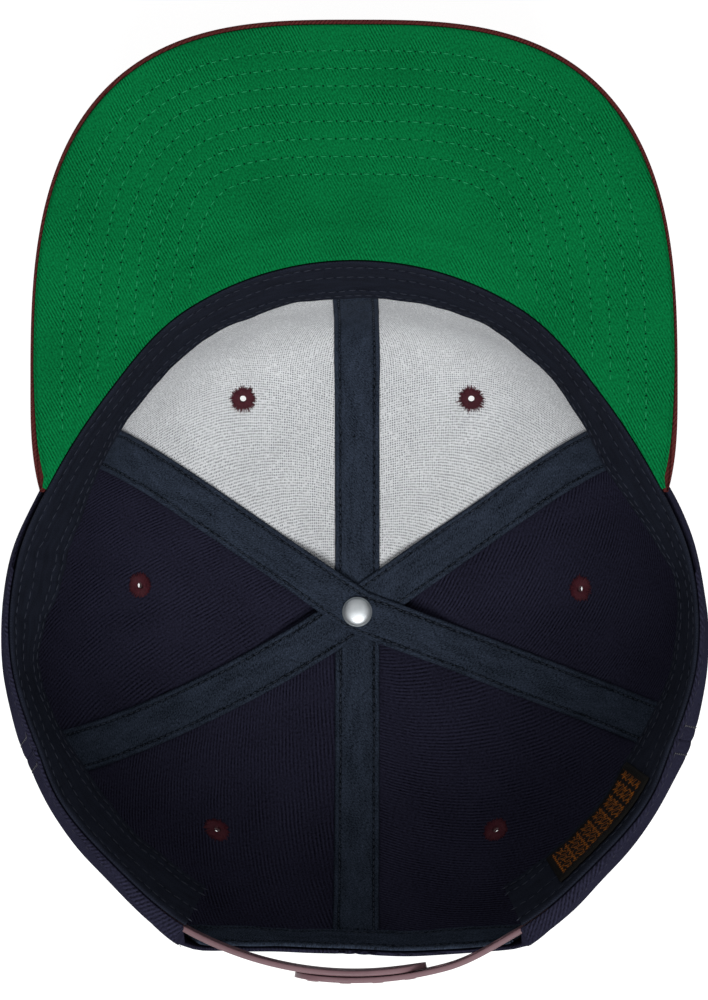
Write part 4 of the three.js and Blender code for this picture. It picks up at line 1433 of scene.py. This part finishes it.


# Stitches: lengths of sewing thread, pulled into the cloth between needle holes. A tree lays
# one stitch at each step along a line, and beside it a flattened dark blob of painted shade
# for the needle hole that the thread dives into.


class Tree:
    """A Geometry Nodes tree with named inputs."""

    KINDS = {float: "Float", int: "Int", bpy.types.Material: "Material"}

    def __init__(self, name, **inputs):
        self.group = bpy.data.node_groups.new(name, "GeometryNodeTree")
        self.names = {}
        sides = self.group.interface
        sides.new_socket("Geometry", in_out="INPUT", socket_type="NodeSocketGeometry")
        sides.new_socket("Geometry", in_out="OUTPUT", socket_type="NodeSocketGeometry")
        for label, value in inputs.items():
            kind = "NodeSocket" + self.KINDS[type(value)]
            socket = sides.new_socket(label, in_out="INPUT", socket_type=kind)
            socket.default_value = value
            self.names[label] = socket.identifier
        inside = self.group.nodes.new("NodeGroupInput").outputs
        self.given = {socket.name: socket for socket in inside}
        self.outside = self.group.nodes.new("NodeGroupOutput").inputs

    def node(self, kind, settings=None, **sockets):
        made = self.group.nodes.new(kind)
        for name, value in (settings or {}).items():
            setattr(made, name, value)
        for key, value in sockets.items():
            key = int(key[1:]) if key[0] == "_" else key.replace("_", " ")
            if isinstance(value, bpy.types.NodeSocket):
                self.group.links.new(value, made.inputs[key])
            else:
                made.inputs[key].default_value = value
        return made.outputs

    def times(self, value, factor):
        return self.node("ShaderNodeMath", {"operation": "MULTIPLY"}, _0=value, _1=factor)[0]

    def vector(self, **parts):
        return self.node("ShaderNodeCombineXYZ", **parts)[0]

    def named(self, label):
        """A vector that the points carry."""
        kind = {"data_type": "FLOAT_VECTOR"}
        return self.node("GeometryNodeInputNamedAttribute", kind, Name=label)[0]

    def aimed(self, ahead, up):
        """A turn that points X ahead, and Z as nearly up as that allows."""
        align = "FunctionNodeAlignRotationToVector"
        turn = self.node(align, {"axis": "X"}, Vector=ahead)[0]
        return self.node(align, {"axis": "Z", "pivot_axis": "X"}, Rotation=turn, Vector=up)[0]

    def ball(self, segments, rings):
        kind = "GeometryNodeMeshUVSphere"
        return self.node(kind, Segments=segments, Rings=rings, Radius=1.0)["Mesh"]

    def moved(self, piece, **change):
        return self.node("GeometryNodeTransform", Geometry=piece, **change)[0]

    def lay(self, piece, points, turn, scale, material):
        """Lays a piece at every point, as a smooth solid of one material."""
        kind = "GeometryNodeInstanceOnPoints"
        laid = self.node(kind, Points=points, Instance=piece, Rotation=turn, Scale=scale)[0]
        solid = self.node("GeometryNodeRealizeInstances", Geometry=laid)[0]
        smooth = self.node("GeometryNodeSetShadeSmooth", Geometry=solid)[0]
        return self.node("GeometryNodeSetMaterial", Geometry=smooth, Material=material)[0]

    def grow(self, name, points, lines, attributes, slot, **values):
        """Runs the tree on lines or points and keeps what it makes as a plain mesh."""
        mesh = bpy.data.meshes.new(name)
        mesh.from_pydata(points.tolist(), lines, [])
        for label, data in attributes.items():
            store(mesh, label, data)
        carrier = placed(name, mesh)
        modifier = carrier.modifiers.new("grow", "NODES")
        modifier.node_group = self.group
        for label, value in values.items():
            modifier[self.names[label]] = value
        carrier.data = baked(carrier)
        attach(carrier, "root")
        return carrier


def thread(name, shade, light):
    """Twisted thread: fine slanting strands with a soft shine."""
    finish = Finish(name, 0.6, specular_ior_level=0.2)
    place = finish.node("ShaderNodeTexCoord", out="Object")
    strands = finish.noise(place, 1500.0, 2.0)
    patches = finish.noise(place, 90.0, 2.0)
    finish.set("Base Color", finish.blend(srgb(*shade), srgb(*light), strands * 0.6 + patches * 0.4))
    finish.relief(strands, 0.05)
    return finish


def stitch_tree():
    blank = thread("plain thread", (40, 40, 40), (90, 90, 90)).material
    tree = Tree(
        "row of stitches",
        Pitch=0.003,
        Length=0.002,
        Width=0.0005,
        Height=0.0003,
        Hole=0.0005,
        Seed=1,
        Thread=blank,
        Dark=blank,
    )
    given = tree.given
    curve = tree.node("GeometryNodeMeshToCurve", Mesh=given["Geometry"])[0]
    places = tree.node(
        "GeometryNodeCurveToPoints", {"mode": "LENGTH"}, Curve=curve, Length=given["Pitch"]
    )
    turn = tree.aimed(places["Tangent"], tree.named("up"))
    vary = tree.node(
        "FunctionNodeRandomValue",
        {"data_type": "FLOAT_VECTOR"},
        Min=(0.86, 0.85, 0.85),
        Max=(1.1, 1.15, 1.15),
        Seed=given["Seed"],
    )[0]
    length, width, height, gap = [
        tree.times(given[name], 0.5) for name in ("Length", "Width", "Height", "Hole")
    ]
    stitch = tree.moved(tree.ball(6, 5), Rotation=(0, np.pi / 2, 0))
    stitch = tree.moved(stitch, Scale=tree.vector(X=length, Y=width, Z=height))
    # The needle hole: a flattened dark blob of painted shade, half a pitch past each stitch.
    shift = tree.vector(X=tree.times(given["Pitch"], 0.5))
    size = tree.vector(X=gap, Y=gap, Z=tree.times(gap, 0.45))
    hole = tree.moved(tree.ball(5, 4), Translation=shift, Scale=size)
    join = tree.group.nodes.new("GeometryNodeJoinGeometry")
    for piece, material in ((stitch, given["Thread"]), (hole, given["Dark"])):
        laid = tree.lay(piece, places["Points"], turn, vary, material)
        tree.group.links.new(laid, join.inputs[0])
    tree.group.links.new(join.outputs[0], tree.outside[0])
    return tree


STITCH_ROW = stitch_tree()
# Painted shade for the needle holes: near black, and for the visor's lining a shaded copy of the green
# twill.
needle_hole_shade = Finish("needle-hole shade", 1.0, specular_ior_level=0.0)
needle_hole_shade.set("Base Color", srgb(6, 8, 9))
green_hole_shade = Finish("needle-hole shade in green", 1.0, specular_ior_level=0.0)
green_hole_shade.set("Base Color", srgb(3, 50, 28))
green_thread = thread("green thread", (2, 116, 64), (16, 156, 94))
red_thread = thread("dark red thread", (52, 24, 24), (104, 58, 56))
tape_thread = thread("dark blue thread", (22, 27, 36), (60, 69, 84))
band_thread = thread("navy thread", (24, 27, 36), (56, 62, 77))
crown_thread = thread("crown thread", (14, 14, 21), (42, 42, 57))
CROWN_STITCH_SINK = 0.12  # into the panels' outer face
THREADS = {  # the look, the painted shade of its needle holes, its slot, and pitch, length, width, height and hole in mm
    "green": (green_thread, green_hole_shade, "underside_twill", 3.45, 1.9, 0.46, 0.4, 0.6),
    "red": (red_thread, needle_hole_shade, "cover_twill", 3.45, 2.2, 0.5, 0.45, 0.6),
    "tape": (tape_thread, needle_hole_shade, "seam_tape", 2.5, 1.7, 0.34, 0.3, 0.26),
    "band": (band_thread, needle_hole_shade, "band_cotton", 3.0, 2.2, 0.36, 0.32, 0.28),
    "crown": (crown_thread, needle_hole_shade, "crown_twill", 3.0, 2.2, 0.5, 0.45, 0.55),
}

for seam in ("front", "front_right", "front_left", "rear_right", "rear_left", "rear"):
    rim = float(SEAMS[seam][0])
    first = float(panel_start(np.array(rim)))
    last = float(share_at_radius(np.array(SEAMS[seam][1]), 9.5))
    share = np.linspace(first + 0.01, last, 160)
    middle = seam_angle(seam, share)
    for side in (-1, 1):
        flat_radius = flat_length(crown(middle, share))
        angle = middle + side * np.degrees(CROWN_STITCH_MARGIN / np.maximum(flat_radius, 9))
        points = crown(angle, share, CROWN_STITCH_SINK)
        key = f"crown_stitches_{seam}_{'a' if side < 0 else 'b'}"
        STITCHES[key] = (points, look_up(CROWN_OUTWARD, angle, share), "crown")
for side in (-1, 1):
    bearing = np.linspace(VISOR_TIP + 10, 180 - ARCH_HALF_ANGLE - 0.5, 200)
    angle = side * bearing
    length = np.interp(bearing, [0, 90, 180], CROWN_LENGTHS[[360, 540, 720]])
    share = panel_start(angle) + HEM_STITCH_MARGIN / length
    points = crown(angle, share, CROWN_STITCH_SINK)
    STITCHES[f"hem_stitches_{side + 1}"] = (points, look_up(CROWN_OUTWARD, angle, share), "crown")
angle, share = arch_place(np.linspace(0.1, np.pi - 0.1, 160), HEM_STITCH_MARGIN)
points = crown(angle, share, CROWN_STITCH_SINK)
STITCHES["arch_stitches"] = (points, look_up(CROWN_OUTWARD, angle, share), "crown")

for number, (name, (points, up, look)) in enumerate(STITCHES.items()):
    finish, hole, slot, pitch, length, width, height, gap = THREADS[look]
    lines = [(i, i + 1) for i in range(len(points) - 1)]
    STITCH_ROW.grow(
        name,
        to_floor(points),
        lines,
        {"up": up @ TURN.T},
        slot,
        Pitch=pitch / 1000,
        Length=length / 1000,
        Width=width / 1000,
        Height=height / 1000,
        Hole=gap / 1000,
        Seed=number,
        Thread=finish.material,
        Dark=hole.material,
    )


# Air holes: six rings of dark red satin stitches, sewn through the panels and, at the front,
# through the stiffener too. Their inner ends lie on the cut edge, their outer ends are ragged.

EYELET_RADIUS = 4.1
EYELET_HOLE = 1.0
EYELET_THREADS = 74  # on each face
EYELETS = {  # angle, and distance from the button's axis as a share of the head's radius
    "front_right": (28.1, 0.794),
    "front_left": (-28.1, 0.794),
    "side_right": (82.8, 0.7155),
    "side_left": (-83.8, 0.735),
    "rear_right": (147, 0.829),
    "rear_left": (-147, 0.829),
}


def satin_tree():
    blank = needle_hole_shade.material
    tree = Tree("satin stitches", Width=0.0003, Height=0.0004, Thread=blank)
    given = tree.given
    turn = tree.aimed(tree.named("ahead"), tree.named("up"))
    width, height = [tree.times(given[name], 0.5) for name in ("Width", "Height")]
    strand = tree.moved(tree.ball(6, 7), Rotation=(0, np.pi / 2, 0))
    strand = tree.moved(strand, Scale=tree.vector(X=0.5, Y=width, Z=height))
    points = tree.node("GeometryNodeMeshToPoints", Mesh=given["Geometry"])[0]
    laid = tree.lay(strand, points, turn, tree.named("span"), given["Thread"])
    tree.group.links.new(laid, tree.outside[0])
    return tree


SATIN = satin_tree()
eyelet_thread = thread("eyelet thread", (28, 6, 12), (102, 42, 54))
chance = np.random.default_rng(5)
for name, (angle, away) in EYELETS.items():
    share = float(share_at_radius(np.array(float(angle)), away * HEAD_RADIUS))
    centre = crown(angle, share)
    axis = look_up(CROWN_OUTWARD, angle, share)
    in_front = name.startswith("front")
    outside = -0.2 if in_front else 0.5
    inside = CLOTH_WALL + (LAYER_GAP + BUCKRAM_WALL if in_front else 0) + 0.45
    middle = (EYELET_HOLE + EYELET_RADIUS) / 2 - 0.2
    reach = EYELET_RADIUS - 0.7
    profile = [
        (EYELET_HOLE, outside - 0.6),
        (EYELET_HOLE, 0.5 - inside),
        (EYELET_HOLE + 0.35, 0.1 - inside),
        (middle, -inside),
        (reach - 0.5, 0.15 - inside),
        (reach, 0.55 - inside),
        (reach, outside - 0.7),
        (reach - 0.5, outside - 0.25),
        (middle, outside - 0.1),
        (EYELET_HOLE + 0.35, outside - 0.2),
    ]
    ring = turned(f"eyelet_ring_{name}", profile, centre, axis, eyelet_thread, "eyelet_thread", 40)
    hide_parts(f"eyelet_{name}")
    side, other = square_to(axis)
    places, ahead, up, span = [], [], [], []
    for face, height in ((1, outside - 0.12), (-1, -inside + 0.08)):
        if face == 1 and in_front:
            height = outside - 0.15
        turns = np.linspace(0, 2 * np.pi, EYELET_THREADS, endpoint=False)
        for turn in turns + chance.normal(0, 0.02, EYELET_THREADS):
            spoke = np.cos(turn) * side + np.sin(turn) * other
            past = chance.normal(0.15, 0.42) if in_front else chance.normal(-0.05, 0.3)
            end = EYELET_RADIUS + past
            start = EYELET_HOLE - 0.05
            slope = axis * face * -0.12
            direction = spoke + slope
            places.append(centre + spoke * (start + end) / 2 + axis * height)
            ahead.append(direction / np.linalg.norm(direction))
            up.append(axis * face)
            span.append([end - start, 1, chance.uniform(0.8, 1.2)])
    grown = SATIN.grow(
        f"eyelet_satin_{name}",
        to_floor(np.array(places)),
        [],
        {
            "ahead": np.array(ahead) @ TURN.T,
            "up": np.array(up) @ TURN.T,
            "span": np.array(span) * [0.001, 1, 1],
        },
        "eyelet_thread",
        Width=0.00036,
        Height=0.0005,
        Thread=eyelet_thread.material,
    )
    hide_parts(f"eyelet_{name}")
    reach = EYELET_HOLE + 0.6
    profile = [(0, -6), (reach, -6), (reach, 6), (0, 6)]
    layers = [panels[name], buckrams[name.split("_")[1]]] if in_front else [panels[name]]
    for layer in layers:
        cut(layer, [turned("drill", profile, centre, axis, eyelet_thread, None, 24)])


# Floor: a plain white sheet that the cap lies on. It glows a little, so that it stays white
# in the room's even light and keeps only a soft shadow under the cap.

FLOOR_REACH = 3  # from its middle, in metres
FLOOR_GLOW = 0.85
corners = [(x * FLOOR_REACH, y * FLOOR_REACH, 0) for x, y in ((-1, -1), (1, -1), (1, 1), (-1, 1))]
floor_mesh = bpy.data.meshes.new("floor")
floor_mesh.from_pydata(corners, [], [(0, 1, 2, 3)])
floor = placed("floor", floor_mesh)
floor_white = Finish("floor white", 0.9)
floor_white.set("Base Color", (0.4, 0.4, 0.4))
floor_white.set("Emission Color", (1, 1, 1))
floor_white.set("Emission Strength", FLOOR_GLOW)
floor_mesh.materials.append(floor_white.material)
